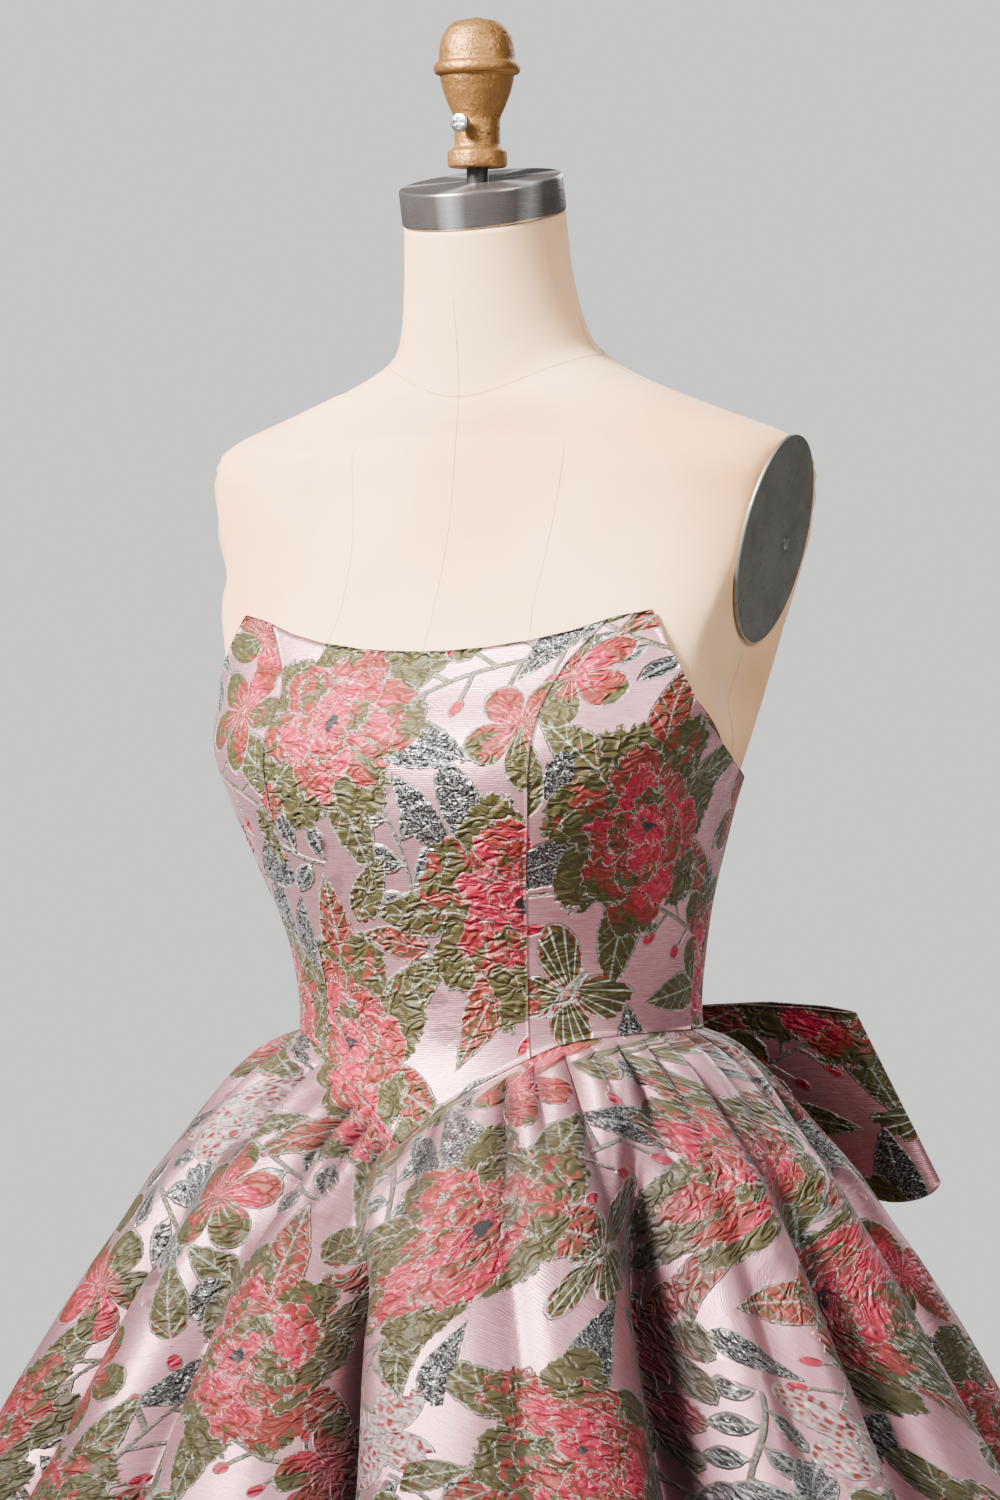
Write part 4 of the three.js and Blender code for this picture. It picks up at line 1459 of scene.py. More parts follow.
@dataclass
class Form:
    """Padded torso, neck plate with its knob, and arm plates."""

    figure: Figure
    finishes: Finishes
    stitches: StitchTool
    columns: int = 180
    steps: int = 8
    under: float = 1.15
    neck_radius: float = 44.5
    neck_height: float = 20.5
    neck_y: float = 8.0
    neck_z: float = 1476.4
    neck_tilt: float = 13.0
    arm: tuple = (158.5, 33.0, 1302.0)
    arm_tilt: float = 13.8
    half_deep: float = 38.4
    half_tall: float = 57.0
    # how the right plate is turned and sunk behind its padded roll
    right_toe: float = 10.0
    right_sink: float = 3.5
    right_roll: float = 8.0
    # where the flattened ground begins to ease out and over how much, in plate radii
    ease: tuple = (1.5, 0.5)
    right_ease: tuple = (1.14, 0.2)
    # middle and half width of the roll in plate radii to the front
    roll_front: tuple = (1.1, 0.5)
    # middle and half height of the roll over the plate's middle
    roll_up: tuple = (8.0, 50.0)
    roll_lean: tuple = (0.88, 0.47)
    roll_edge: float = -90.0
    # row of the figure where the seam round the neck's foot lies
    neck_foot: float = 17.9
    seam_pitch: float = 1.7
    seam_stitch: float = 1.3
    seam_thread: float = 0.19
    knob_screw: tuple = (0, -21.6, 1525.8)

    # side height and angle along the cover's seams on the left side
    COVER_SEAMS = (((1150, 37), (1262, 38), (1345, 47)), ((1165, 143), (1262, 142), (1350, 132)),
                   ((1165, 94), (1238, 94)), ((1362, 93), (1420, 93)))
    # radius, height
    ROD = ((0, 1488), (5.9, 1488), (5.9, 1522), (0, 1522))
    KNOB = ((0, 1503.2), (15.2, 1503.2), (16.1, 1504.4), (16.1, 1511.6), (13.2, 1513.4),
            (12.3, 1515), (12.3, 1529), (12.9, 1531), (15.6, 1537), (18.2, 1544), (19.7, 1550),
            (20, 1552.9), (22.5, 1553.4), (23.4, 1555), (23.4, 1557.6), (22.2, 1559.4),
            (20.5, 1560.4), (20.4, 1566), (19.2, 1573), (16.4, 1578), (12.2, 1581.6), (0, 1584))
    # inset from the arm plate's edge, height
    PLATE_EDGE = ((0.6, 0.3), (0.0, 0.8), (0.0, 2.1), (0.25, 2.5), (0.7, 2.7), (1.4, 2.62),
                  (5.0, 2.6), (14.0, 2.6), (26.0, 2.6))

    def neck_frame(self) -> Matrix:
        """Middle and lean of the neck plate."""
        return (Matrix.Translation((0, self.neck_y, self.neck_z))
                @ Matrix.Rotation(math.radians(self.neck_tilt), 4, "X"))

    def press(self, points: Array) -> Array:
        """Flatten the figure where the arm plates lie on it.

        Args:
            points: Points of the figure in millimetres.

        Returns:
            The points, flattened behind the plates and padded out before the right one.
        """
        side = np.where(points[..., 0] < 0, -1.0, 1.0)
        tilt = math.radians(self.arm_tilt)
        dx = np.abs(points[..., 0]) - self.arm[0]
        dy = points[..., 1] - self.arm[1]
        dz = points[..., 2] - self.arm[2]
        right = side < 0
        toe = np.where(right, math.tan(math.radians(self.right_toe)), 0.0)
        sink = np.where(right, self.right_sink, 0.0)
        proud = dx * math.cos(tilt) - dz * math.sin(tilt) - dy * toe + sink
        up = dx * math.sin(tilt) + dz * math.cos(tilt)
        reach = np.hypot(up / self.half_tall, dy / self.half_deep)
        start, span = (np.where(right, a, b) for a, b in zip(self.right_ease, self.ease))
        share = np.where(proud > 0, 1 - smooth((reach - start) / span), 0.0) * proud
        out = points.copy()
        out[..., 0] -= side * math.cos(tilt) * share
        out[..., 2] += math.sin(tilt) * share
        front = -dy / self.half_deep
        roll = self.right_roll * np.exp(
            -((front - self.roll_front[0]) / self.roll_front[1]) ** 2
            - ((up - self.roll_up[0]) / self.roll_up[1]) ** 2)
        roll = np.where(right & (points[..., 0] < self.roll_edge), roll, 0.0)
        out[..., 0] -= self.roll_lean[0] * roll
        out[..., 1] -= self.roll_lean[1] * roll
        return out

    def torso_rings(self) -> Array:
        """Rings of the torso from the hips to the neck plate.

        Returns:
            Points by ring and place round it, in millimetres.
        """
        angle = np.linspace(0, 360, self.columns, endpoint=False)
        place = np.linspace(0, self.figure.last, self.figure.last * self.steps + 1)
        row = self.figure.row(place)[:, None, :]
        rings = self.press(self.figure.point(row, angle[None, :], -self.under))
        radius = self.neck_radius - 0.7
        top = np.stack([radius * np.sin(np.radians(angle)), -radius * np.cos(np.radians(angle)),
                        np.full(self.columns, -0.3)], axis=-1)
        top = moved(top, self.neck_frame())
        shares = np.linspace(0, 1, 13)[1:, None, None]
        return np.concatenate([rings, lerp(rings[-1][None], top[None], shares)])

    def seam(self, turns: Sequence[tuple[float, float]], count: int = 160) -> Array:
        """Path of a seam on the form, by side height and angle.

        Args:
            turns: Side height and angle along the seam.
            count: Points of the path.

        Returns:
            The path in millimetres.
        """
        z = np.linspace(turns[0][0], turns[-1][0], count)
        row = self.figure.row_at(z)
        return self.press(self.figure.point(row, read(turns, z), -self.under + 0.05))

    def build(self) -> None:
        """Build the torso and all that is fixed to it."""
        place_piece(skin("linen_torso", self.torso_rings()), "form_torso",
                    self.finishes.linen)
        self._seams()
        self._neck()
        for side, word in SIDES:
            self._arm(side, word)

    def _seams(self) -> None:
        """Hairline seams of the linen cover."""
        paths = [self.seam(((1165, 0), (1446, 0))), self.seam(((1165, 180), (1446, 180)))]
        for sign in (1, -1):
            paths += [self.seam([(z, angle * sign) for z, angle in turns])
                      for turns in self.COVER_SEAMS]
        foot = self.figure.row(np.array([self.neck_foot]))
        paths.append(self.figure.point(foot, np.linspace(0, 360, 240), -self.under + 0.05))
        thread = Art("form_seam_thread")
        shade = thread.noise(thread.place(), 0.003, 1.0)
        finish = thread.finish(thread.mix(linear(132, 100, 74), linear(166, 136, 108), shade),
                               0.9)
        piece = self.stitches.sew("form_seams", paths, self.seam_pitch, self.seam_stitch,
                                  self.seam_thread, finish)
        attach(piece, "root")

    def _neck(self) -> None:
        """Neck plate, rod, knob and set screw."""
        r, h = self.neck_radius, self.neck_height
        drum = rounded([(0, 0), (r, 0), (r, h - 0.2), (r - 3, h), (0, h)], 2.4, 6)
        place_piece(turned("neck_plate", drum, 160, self.neck_frame()), "neck_cap",
                    self.finishes.steel)
        place_piece(turned("neck_rod_paint", rounded(self.ROD), 48), "neck_rod",
                    self.finishes.black)
        place_piece(turned("cast_knob", rounded(self.KNOB, 0.9, 3), 96, sharp=60), "finial",
                    self.finishes.brass)
        facing = Matrix.Translation(self.knob_screw) @ Matrix.Rotation(math.radians(90), 4, "X")
        place_piece(self._screw("knob_set_screw", 2.5, 5.0, 3.2, 12.0, facing), "set_screw",
                    self.finishes.zinc)

    def _screw(self, name: str, shank: float, head: float, deep: float, length: float,
               place: Matrix) -> bpy.types.Object:
        """Cross-slotted screw whose head's top lies at its own origin, facing its +Z.

        Args:
            name: The piece's name.
            shank: Radius of the shank.
            head: Radius of the head.
            deep: Height of the head.
            length: Length of the shank.
            place: Where it stands, in millimetres.

        Returns:
            The screw.
        """
        count, rings = 64, 14
        angle = np.linspace(0, 2 * math.pi, count, endpoint=False)
        radii = np.linspace(0.02, 1, rings) * head
        x, y = radii[:, None] * np.cos(angle), radii[:, None] * np.sin(angle)
        reach, half = head * 0.62, head * 0.14
        slot = np.maximum(
            smooth((half * 1.5 - np.abs(x)) / (half * 0.6)) * (np.abs(y) < reach),
            smooth((half * 1.5 - np.abs(y)) / (half * 0.6)) * (np.abs(x) < reach))
        z = -0.25 * deep * (radii[:, None] / head) ** 3 - slot * 0.9
        top = np.stack([x, y, np.broadcast_to(z, x.shape)], axis=-1)
        lower = [(head, -deep), (shank, -deep - 0.05), (shank, -deep - length)]
        rest = [np.stack([r * np.cos(angle), r * np.sin(angle), np.full(count, h)], axis=-1)
                for r, h in lower]
        return skin(name, moved(np.concatenate([top, np.array(rest)]), place), False, 40)

    def _arm(self, side: int, word: str) -> None:
        """Oval plate over an armhole, with its screw.

        Args:
            side: One on the left, minus one on the right.
            word: The side in a word.
        """
        tilt = math.radians(self.arm_tilt)
        across = Vector((0, side, 0))
        up = Vector((side * math.sin(tilt), 0, math.cos(tilt)))
        out = Vector((side * math.cos(tilt), 0, -math.sin(tilt)))
        middle = Vector((side * self.arm[0], self.arm[1], self.arm[2]))
        if side < 0:
            toe = Matrix.Rotation(math.radians(self.right_toe), 3, up)
            across, out = toe @ across, toe @ out
            middle -= out * self.right_sink
        base = Matrix((across, up, out)).transposed().to_4x4()
        base.translation = middle
        angle = np.linspace(0, 2 * math.pi, 128, endpoint=False)
        rings = np.array([np.stack([(self.half_deep - inset) * np.cos(angle),
                                    (self.half_tall - inset) * np.sin(angle),
                                    np.full_like(angle, height)], axis=-1)
                          for inset, height in self.PLATE_EDGE])
        place_piece(skin(f"arm_plate_{word}_steel", moved(rings, base), False, 50),
                    f"arm_plate_{word}", self.finishes.aged)
        screw = base @ Matrix.Translation((side * 13.0, -2.0, 3.6))
        place_piece(self._screw(f"arm_screw_{word}_zinc", 1.5, 3.6, 0.9, 1.4, screw),
                    f"arm_plate_screw_{word}", self.finishes.zinc)


@dataclass
class Stand:
    """Round base and pole under the form."""

    finishes: Finishes

    # radius, height
    BASE = ((0, 0), (196, 0), (200, 2.5), (200, 8), (195, 11), (60, 17), (24, 19.5), (20, 22),
            (0, 22))
    POLE = ((0, 22.3), (12.5, 22.3), (12.5, 779.7), (0, 779.7))

    def build(self) -> None:
        """Build the base and the pole."""
        place_piece(turned("stand_base", rounded(self.BASE, 2.0, 3), 160), "base_plate",
                    self.finishes.white)
        place_piece(turned("stand_pole", self.POLE, 64), "pole",
                    self.finishes.white)


# Cloth


# angle round from the centre front, height
WAIST_SEAM = ((0, 982.5), (5.5, 992.8), (12, 1003), (19, 1011.5), (26.5, 1019), (36, 1028),
              (43, 1033.5), (52, 1037.5), (66, 1039.5), (84, 1040.5), (180, 1041))
TOP_EDGE = ((0, 1240.5), (12, 1241), (25, 1242.5), (38, 1246), (48, 1251), (57, 1258.5),
            (63, 1262), (66.5, 1243), (74, 1216), (86, 1193.6), (97, 1181), (104, 1176.5),
            (120, 1171), (150, 1164), (180, 1161))
# height, angle
PRINCESS_SEAM = ((982, 36), (1028, 35.8), (1080, 35.3), (1114, 36), (1174, 37), (1195, 38.3),
                 (1208, 40), (1221, 43), (1235, 47), (1248, 52), (1262, 57))
PEAK_ANGLE = 63.0
PEAK_Z = 1262.0
SIDE_SEAM = 94.0
BACK_SEAM = 142.0
CENTRE_BACK = 180.0
HALF_SEAM = 0.15
CLOTH = 1.3


def waist_z(angle: Array) -> Array:
    """Height of the waist seam."""
    return read(WAIST_SEAM, np.abs(angle))


def top_z(angle: Array) -> Array:
    """Height of the top edge."""
    return read(TOP_EDGE, np.abs(angle))


def princess(z: Array) -> Array:
    """Angle of the princess seam."""
    return read(PRINCESS_SEAM, z)


def upright(angle: float) -> Callable[[Array], Array]:
    """A seam that keeps one angle at every height."""
    return lambda z: np.full_like(np.asarray(z, float), angle)


@dataclass(frozen=True)
class Panel:
    """One cut panel of the bodice on the left side or in the middle."""

    name: str
    left: Callable[[Array], Array]
    right: Callable[[Array], Array]
    columns: int
    flat: tuple
    shift: tuple
    peak: float | None = None


@dataclass
class Bodice:
    """Seven seamed panels from the waist seam to the top edge."""

    figure: Figure
    finish: bpy.types.Material
    chart: Chart
    out: float = 1.8
    rows: int = 64
    middle_z: float = 1100.0
    # depth and reach of the dip beside a seam, with a column taken as three millimetres
    dip: float = 0.35
    dip_reach: float = 2.4
    column: float = 3.0
    # share of its box that a cut panel fills
    fills: float = 0.8

    def _angle(self, panel: Panel, share: Array, z: Array) -> Array:
        """Angle of a share across a panel at a height.

        Args:
            panel: The panel.
            share: Share of the way across.
            z: Height in millimetres.

        Returns:
            Degrees round from the centre front.
        """
        row = self.figure.row_at(z)
        left, right = panel.left(z), panel.right(z)
        inset = [np.degrees(HALF_SEAM / self.figure.radius(row, side, self.out))
                 for side in (left, right)]
        return lerp(left + inset[0], right - inset[1], share)

    def _end(self, panel: Panel, share: Array, edge: Callable[[Array], Array]) -> Array:
        """Height where each share across a panel meets an edge.

        Args:
            panel: The panel.
            share: Shares of the way across.
            edge: The edge's height.

        Returns:
            The heights in millimetres.
        """
        middle = (panel.left(self.middle_z) + panel.right(self.middle_z)) / 2
        z = np.full_like(share, float(edge(np.array(middle))))
        for _ in range(60):
            z = lerp(z, edge(self._angle(panel, share, z)), 0.3)
        return z

    def panel(self, panel: Panel, side: int, name: str) -> bpy.types.Object:
        """Build one panel.

        Args:
            panel: The panel.
            side: One for the left, minus one to mirror it.
            name: The piece's name.

        Returns:
            The piece.
        """
        share = np.linspace(0, 1, panel.columns)
        if panel.peak is not None:
            share[np.argmin(np.abs(share - panel.peak))] = panel.peak
        low = self._end(panel, share, waist_z) + HALF_SEAM
        high = self._end(panel, share, top_z)
        up = np.linspace(0, 1, self.rows)[:, None]
        z = lerp(low[None], high[None], up)
        across = np.broadcast_to(share[None], z.shape)
        angle = self._angle(panel, across, z)
        edge = np.minimum(np.abs(across), np.abs(1 - across)) * panel.columns * self.column
        out = self.out - self.dip * np.exp(-(edge / self.dip_reach) ** 2)
        out = out + self._strain(angle, z)
        points = self.figure.point(self.figure.row_at(z), angle, out)
        points[..., 0] *= side
        piece = shell(name, points, CLOTH)
        self.chart.weave(piece, (panel.shift[0] * side, panel.shift[1]))
        return piece

    @staticmethod
    def _strain(angle: Array, z: Array) -> Array:
        """Faint pulls in the cloth over the body."""
        return (0.28 * np.sin(z / 17 + angle / 9) * np.sin(angle / 13 + 1)
                + 0.16 * np.sin(z / 8.3 - angle / 6.1 + 2))

    def build(self) -> None:
        """Build every panel."""
        start = float(princess(PEAK_Z))
        centre = Panel("front_centre", lambda z: -princess(z), princess, 80, (0.185, 0.265),
                       (0.120, 0.15))
        sides = (
            Panel("side_front", princess, upright(SIDE_SEAM), 64, (0.125, 0.255), (0.065, 0.03),
                  (PEAK_ANGLE - start) / (SIDE_SEAM - start)),
            Panel("side_back", upright(SIDE_SEAM), upright(BACK_SEAM), 48, (0.105, 0.145),
                  (0.22, 0.20)),
            Panel("back", upright(BACK_SEAM), upright(CENTRE_BACK), 44, (0.085, 0.130),
                  (0.31, 0.30)),
        )
        self._add(self.panel(centre, 1, "bodice_centre_cloth"), "bodice_front_centre")
        for panel in sides:
            for side, word in SIDES:
                piece = self.panel(panel, side, f"bodice_{panel.name}_{word}_cloth")
                self._add(piece, f"bodice_{panel.name}_{word}")

    def _add(self, piece: bpy.types.Object, node: str) -> None:
        """Dress a panel."""
        place_piece(piece, node, self.finish)


@dataclass
class Skirt:
    """Full gathered skirt of one front piece and two backs."""

    figure: Figure
    finish: bpy.types.Material
    chart: Chart
    hem_z: float = 595.0
    centre_y: float = 24.0
    out: float = 1.8
    gather_rise: float = 8.0
    tuck_scale: float = 1.45
    # slant from the tip of the flat cone to the waist
    cone_tip: float = 187.0
    rows: int = 122

    # drop, out
    FLARE = ((0, 0), (0.01, 11), (0.025, 21), (0.05, 33), (0.074, 43), (0.121, 61), (0.178, 83),
             (0.234, 100), (0.281, 115), (0.348, 134), (0.404, 149), (0.467, 165), (0.629, 212),
             (0.809, 264), (1, 318))
    # top, hem, wide, deep, start, how far the next roll laps over it
    VALLEYS = ((-7, 13, 5.6, 66, 0.0, 6.0), (58, 49, 6.6, 70, 0.0, -2.0),
               (70, 63, 3.0, 14, 0.02, 0), (84, 78, 5, 36, 0.03, 2), (100, 102, 6, 36, 0.02, 2),
               (126, 128, 7, 40, 0.04, 3), (150, 153, 6, 32, 0.08, -2),
               (172, 177, 5, 26, 0.12, 0), (196, 200, 7, 38, 0.04, -3), (222, 224, 6, 32, 0.06, 2),
               (247, 250, 7, 38, 0.03, 3), (272, 273, 5, 28, 0.08, 0), (296, 295, 6, 34, 0.05, -2),
               (318, 322, 5, 38, 0.03, 2), (337, 343, 4, 26, 0.04, 1), (26, 31, 2.6, 9, 0.03, 0))
    # angle, wide, deep, length
    TUCKS = ((-34, 2.2, 8, 0.16), (-24, 1.8, 6, 0.10), (-15, 2.0, 9, 0.24), (-8.5, 1.6, 8, 0.14),
             (-2.5, 1.5, 7, 0.10), (5, 1.8, 6, 0.08), (12, 1.7, 7, 0.16), (20, 1.6, 5, 0.07),
             (29, 2.0, 9, 0.22), (36.5, 1.7, 8, 0.12), (45, 2.0, 9, 0.28), (52, 1.6, 6, 0.10),
             (60, 1.9, 9, 0.20), (68, 1.7, 7, 0.12), (76, 2.1, 9, 0.26), (85, 1.7, 6, 0.10))

    def _gather(self, angle: Array, drop: Array) -> tuple[Array, Array]:
        """Rise of the cloth under the waist seam, and its fall into tucks that die out.

        The tucks of the back, which the photograph doesn't show, are spaced by a formula.

        Args:
            angle: Degrees round from the centre front.
            drop: Share of the way down.

        Returns:
            The rise and the fall in millimetres.
        """
        turn = np.radians(angle)
        tucks = list(self.TUCKS)
        for k in range(26):
            tucks.append((93 + 9.1 * k + 2.2 * math.sin(2.3 * k), 1.9 + 0.4 * math.sin(4.1 * k),
                          7 + 2.5 * math.sin(1.7 * k), 0.15 + 0.08 * math.sin(2.9 * k)))
        fall = np.zeros(np.broadcast(angle, drop).shape)
        for top, wide, deep, length in tucks:
            off = np.abs(turn_between(angle, top)) / (wide * (1 + 1.4 * drop / length))
            fall = fall + deep * np.exp(-off ** 1.3 - (drop / length) ** 2)
        broad = (0.5 + 0.5 * np.sin(21 * turn + 1.5 * np.sin(3 * turn))) * smooth(drop / 0.05)
        broad = broad * (1 - smooth((drop - 0.08) / 0.32))
        start = smooth(drop / 0.02)
        return self.gather_rise * (0.45 + 0.5 * broad) * start, self.tuck_scale * fall * start

    def _valley(self, angle: Array, drop: Array) -> tuple[Array, Array]:
        """Fall of the cloth into its deep valleys.

        Args:
            angle: Degrees round from the centre front.
            drop: Share of the way down.

        Returns:
            How far it falls, and how far the cloth beside it laps over, in degrees.
        """
        lean = 1 - (1 - np.clip(drop, 0, 1)) ** 4
        fall = np.zeros(np.broadcast(angle, drop).shape)
        lap = np.zeros_like(fall)
        for top, hem, wide, deep, start, over in self.VALLEYS:
            off = turn_between(angle, lerp(top, hem, lean)) / wide
            grown = smooth((drop - start) / 0.36)
            fall = fall + deep * grown * np.exp(-np.abs(off) ** 1.8)
            lap = lap + over * grown * np.exp(-((off - np.sign(over)) / 0.75) ** 2)
        return fall, lap

    @staticmethod
    def _ripple(angle: Array, drop: Array) -> Array:
        """Slight unevenness of the stiff cloth."""
        turn = np.radians(angle)
        return drop * (1 - 0.3 * drop) * (
            1.6 * np.sin(9 * turn + 7 * drop) + 1.1 * np.sin(17 * turn - 11 * drop + 2)
            + 0.7 * np.sin(29 * turn + 19 * drop + 1))

    def surface(self, angle: Array, drop: Array) -> tuple[Array, Array]:
        """Middle of the cloth at an angle and a share of the drop, and the painted shade on it.

        Args:
            angle: Degrees round from the centre front.
            drop: Share of the way down.

        Returns:
            Points in millimetres, and their painted shade from nought to one.
        """
        top = waist_z(turn_between(angle, 0)) - 0.95
        row = self.figure.row_at(top)
        waist = self.figure.radius(row, angle, self.out)
        back = np.exp(-(turn_between(angle, 180) / 42) ** 2)
        pressed = 1 - 0.52 * back * (1 - smooth(drop / 0.4))
        fall, lap = self._valley(angle, drop)
        rise, tuck = self._gather(angle, drop)
        radius = (waist + read(self.FLARE, drop) * pressed + rise - tuck
                  - fall + self._ripple(angle, drop))
        # painted shade: darker in the valleys and tucks, and a little darker towards the hem
        shade = np.clip(0.08 + 0.14 * smooth(drop / 0.4) + smooth(fall / 48) * 0.8
                        + smooth(tuck / 12) * 0.8, 0, 1)
        centre = lerp(row[..., 6], self.centre_y, smooth(drop))
        angle = angle - lap
        points = np.stack([radius * np.sin(np.radians(angle)),
                           centre - radius * np.cos(np.radians(angle)),
                           lerp(top, self.hem_z, drop)], axis=-1)
        return points, shade

    def _flat(self, points: Array) -> Array:
        """Lay a panel out as a part of a cone, which keeps the print's scale.

        Args:
            points: Points by row and column, in millimetres.

        Returns:
            Places on the flat cloth in metres.
        """
        slant = np.linalg.norm(np.diff(points, axis=0), axis=-1).mean(axis=1)
        reach = self.cone_tip + np.concatenate([[0], np.cumsum(slant)])
        turn = run_across(points) / reach[:, None]
        return np.stack([reach[:, None] * np.sin(turn), -reach[:, None] * np.cos(turn)],
                        axis=-1) * MM

    def panel(self, name: str, left: float, right: float, columns: int,
              shift: tuple[float, float]) -> bpy.types.Object:
        """Build one panel between two upright seams.

        Args:
            name: The piece's name.
            left: Angle of the first seam.
            right: Angle of the second seam.
            columns: Columns of points.
            shift: Where it was cut from the cloth, in metres.

        Returns:
            The piece.
        """
        drop = np.linspace(0, 1, self.rows)[:, None] ** 1.25
        inset = np.degrees(HALF_SEAM / (110 + 300 * drop)) * 1.3
        share = np.linspace(0, 1, columns)[None, :]
        angle = lerp(left + inset, right - inset, share)
        points, shade = self.surface(angle, np.broadcast_to(drop, angle.shape))
        piece = shell(name, points, CLOTH, self._flat(points), shade=shade)
        self.chart.weave(piece, shift)
        return piece

    def build(self) -> None:
        """Build the three panels."""
        # name, node, left, right, columns, flat width, flat length, area, shift
        rows = (
            ("skirt_front_cloth", "skirt_front", -SIDE_SEAM, SIDE_SEAM, 370, 1.62, 0.60, 0.63,
             (0.10, 0.06)),
            ("skirt_back_left_cloth", "skirt_back_left", SIDE_SEAM, CENTRE_BACK, 180,
             0.78, 0.60, 0.28, (0.33, 0.21)),
            ("skirt_back_right_cloth", "skirt_back_right", CENTRE_BACK, 360 - SIDE_SEAM, 180,
             0.78, 0.60, 0.28, (0.21, 0.33)),
        )
        for name, node, left, right, columns, wide, long_, area, shift in rows:
            piece = self.panel(name, left, right, columns, shift)
            place_piece(piece, node, self.finish)


@dataclass
class Bow:
    """Two doubled loops and the band round their middle."""

    finish: bpy.types.Material
    chart: Chart
    knot_y: float = 151.0
    knot_z: float = 1017.5
    half_tall: float = 28.0
    half_deep: float = 8.0
    half_wide: float = 15.0
    tilt: float = 22.0
    reach_low: float = 184.0
    reach_high: float = 147.0

    # along, y at the bottom and top, z at the bottom and top
    EDGE = ((0, 160, 142, 997, 1038), (0.12, 161.5, 142.6, 995.5, 1039.5),
            (0.2, 170, 144, 989, 1043), (0.35, 187, 147, 979, 1048), (0.6, 201, 152, 967, 1050),
            (0.85, 195, 157, 957, 1048), (1, 188, 159, 953, 1045))

    def _loop(self, side: int, share: Array, up: Array) -> Array:
        """Middle of one loop's cloth, from the knot out, round the end and back.

        Args:
            side: One on the left, minus one on the right.
            share: Share of the way round.
            up: Share of the way up.

        Returns:
            Points in millimetres.
        """
        turn = 2 * math.pi * share
        along = (1 - np.cos(turn)) / 2
        end = lerp(self.reach_low, self.reach_high, up)
        pleat = 1.6 * (1 - smooth(along * 1.6)) * np.sin(up * 5 * math.pi)
        apart = (2.3 * np.cos(math.pi * share) + 15 * np.sin(turn) * smooth(along / 0.4))
        lower = 17 * smooth((share - 0.45) / 0.2) * smooth(along * 1.5)
        y = lerp(read(self.EDGE, along, 1), read(self.EDGE, along, 2), up)
        bottom = read(self.EDGE, along, 3) - lower
        return np.stack([side * lerp(1.2, end, along), y + apart + pleat,
                         lerp(bottom, read(self.EDGE, along, 4), up)], axis=-1)

    @staticmethod
    def _squared(value: Array) -> Array:
        """Turn a sine into that of a round with flattened sides."""
        return np.sign(value) * np.abs(value) ** (2 / 3)

    def _knot(self, share: Array, across: Array) -> Array:
        """Middle of the band's cloth round the bow.

        Args:
            share: Share of the way round.
            across: Share of the band's width.

        Returns:
            Points in millimetres.
        """
        turn = 2 * math.pi * share
        x = lerp(-self.half_wide, self.half_wide, across)
        waisted = 1 + 0.08 * (x / self.half_wide) ** 2 + 0.03 * np.sin(across * 15 + turn)
        deep = self.half_deep * waisted * self._squared(np.cos(turn))
        tall = self.half_tall * waisted * self._squared(np.sin(turn))
        tilt = math.radians(self.tilt)
        return np.stack([np.broadcast_to(x, deep.shape),
                         self.knot_y + deep * math.cos(tilt) - tall * math.sin(tilt),
                         self.knot_z + deep * math.sin(tilt) + tall * math.cos(tilt)], axis=-1)

    def build(self) -> None:
        """Build both loops and the knot."""
        share = np.linspace(0, 1, 170)[None, :]
        up = np.linspace(0, 1, 40)[:, None]
        for side, word in SIDES:
            along = (1 - np.cos(2 * math.pi * share)) / 2 + 0 * up
            # painted shade on the loops, darkest next to the knot
            piece = shell(f"bow_loop_{word}_cloth", self._loop(side, share, up), CLOTH,
                          shade=0.25 + 0.6 * np.exp(-(along / 0.45) ** 2))
            self.chart.weave(piece, (0.05 * side, 0.10))
            place_piece(piece, f"bow_loop_{word}", self.finish)
        share = (np.arange(120) / 120)[None, :]
        across = np.linspace(0, 1, 26)[:, None]
        knot = shell("bow_knot_cloth", self._knot(share, across), CLOTH, closed=True)
        self.chart.weave(knot, (0.07, 0.02))
        place_piece(knot, "bow_knot", self.finish)


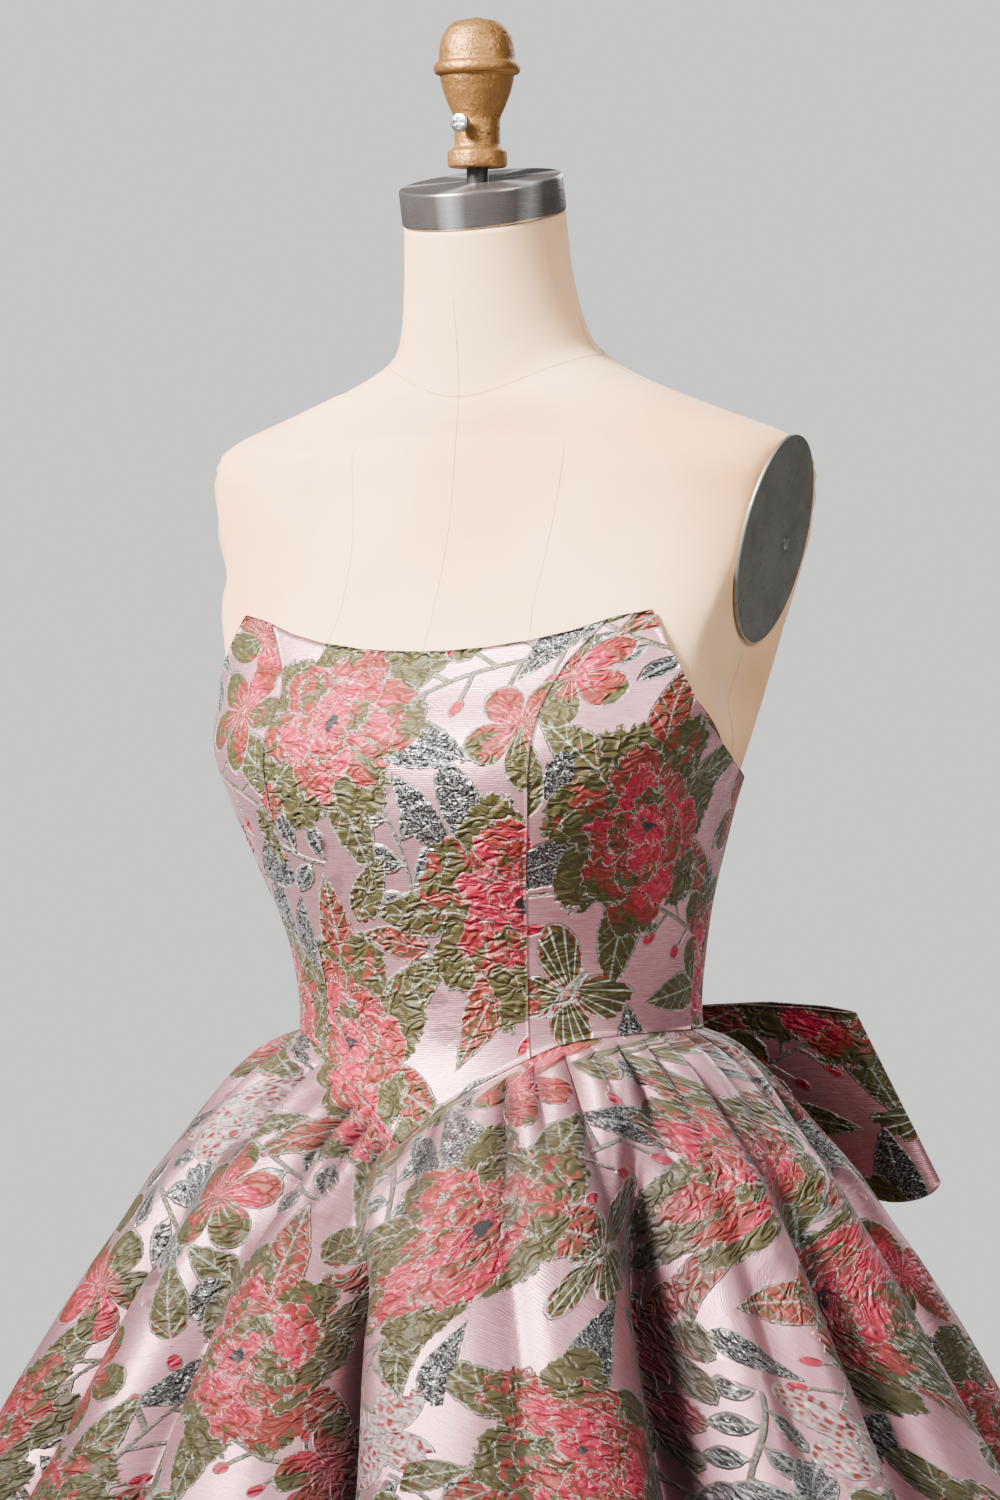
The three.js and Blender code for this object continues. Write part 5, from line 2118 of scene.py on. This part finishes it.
@dataclass
class Studio:
    """Floor, camera and soft light."""

    camera_distance: float = 3.8
    camera_height: float = 1.19
    camera_turn: float = 28.0
    focal_pixels: float = 7068.0
    frame_pixels: float = 1500.0
    roll: float = 0.25
    wall: float = 1.06
    room: float = 0.13
    shift_right: float = 0.01075
    sensor: float = 36.0
    target_z: float = 1.38

    # name, right, back, up, width, power, spread, colour
    LIGHTS = (
        ("key", -1.62, 1.05, 1.28, 0.75, 24.0, 38, (1.0, 0.985, 0.97)),
        ("fill", 1.6, 2.3, 1.3, 1.2, 66.0, 180, (0.98, 0.99, 1.0)),
        ("top", 0.2, 0.4, 2.2, 0.7, 8.0, 180, (1.0, 1.0, 1.0)),
        ("rim", 1.3, -2.8, 1.3, 1.6, 46.0, 180, (1.0, 1.0, 1.0)),
    )

    def build(self) -> None:
        """Set up the studio."""
        self._floor()
        self._camera()
        self._lights()

    def _axes(self) -> tuple[Vector, Vector]:
        """The camera's right and back directions."""
        c, s = math.cos(math.radians(self.camera_turn)), math.sin(math.radians(self.camera_turn))
        return Vector((c, s, 0)), Vector((s, -c, 0))

    def _floor(self) -> None:
        """Pale floor."""
        mesh = bpy.data.meshes.new("floor")
        mesh.from_pydata([(-5, -5, 0), (5, -5, 0), (5, 5, 0), (-5, 5, 0)], [], [(0, 1, 2, 3)])
        floor = add_object("floor", mesh)
        art = Art("floor_paper")
        cloud = art.noise(art.place(), 0.8, 2.0)
        mesh.materials.append(art.finish(art.mix(linear(226, 225, 222), linear(214, 213, 210),
                                                 cloud), 0.9))

    def _camera(self) -> None:
        """Camera at the photograph's angle, for a frame of 1000 by 1500."""
        right, back = self._axes()
        data = bpy.data.cameras.new("camera")
        data.sensor_fit = "VERTICAL"
        data.sensor_height = self.sensor
        data.lens = self.focal_pixels / self.frame_pixels * self.sensor
        camera = add_object("camera", data)
        place = Matrix((right, Vector((0, 0, 1)), back)).transposed().to_4x4()
        place.translation = back * self.camera_distance + right * self.shift_right + Vector(
            (0, 0, self.camera_height))
        camera.matrix_world = place @ Matrix.Rotation(math.radians(-self.roll), 4, "Z")
        bpy.context.scene.camera = camera

    def _lights(self) -> None:
        """Soft lights, and the room round them."""
        right, back = self._axes()
        up = Vector((0, 0, 1))
        target = Vector((0, 0, self.target_z))
        for name, r, b, z, wide, power, spread, colour in self.LIGHTS:
            data = bpy.data.lights.new(name, "AREA")
            data.size = wide
            data.energy = power
            data.spread = math.radians(spread)
            data.color = colour
            light = add_object(name, data)
            light.location = target + right * r + back * b + up * z
            light.rotation_euler = (target - light.location).to_track_quat("-Z", "Y").to_euler()
        self._room()

    def _room(self) -> None:
        """Grey wall for the camera, and a dimmer room that lights the form."""
        world = bpy.data.worlds.new("room")
        bpy.context.scene.world = world
        world.use_nodes = True
        tree = world.node_tree
        wall = tree.nodes["Background"]
        wall.inputs["Color"].default_value = (1.0, 1.0, 0.985, 1.0)
        wall.inputs["Strength"].default_value = self.wall
        room = tree.nodes.new("ShaderNodeBackground")
        room.inputs["Color"].default_value = (1.0, 0.99, 0.98, 1.0)
        room.inputs["Strength"].default_value = self.room
        path, mix = tree.nodes.new("ShaderNodeLightPath"), tree.nodes.new("ShaderNodeMixShader")
        tree.links.new(path.outputs["Is Camera Ray"], mix.inputs[0])
        tree.links.new(room.outputs[0], mix.inputs[1])
        tree.links.new(wall.outputs[0], mix.inputs[2])
        tree.links.new(mix.outputs[0], tree.nodes["World Output"].inputs[0])


def main() -> None:
    """Build the whole object and the studio."""
    logging.basicConfig(level=logging.INFO, format="%(message)s")
    Studio().build()
    finishes = Finishes.make()
    figure = Figure()
    chart = Chart()
    Form(figure, finishes, StitchTool()).build()
    Stand(finishes).build()
    Bodice(figure, finishes.brocade, chart).build()
    Skirt(figure, finishes.brocade, chart).build()
    Bow(finishes.brocade, chart).build()


if __name__ == "__main__":
    main()
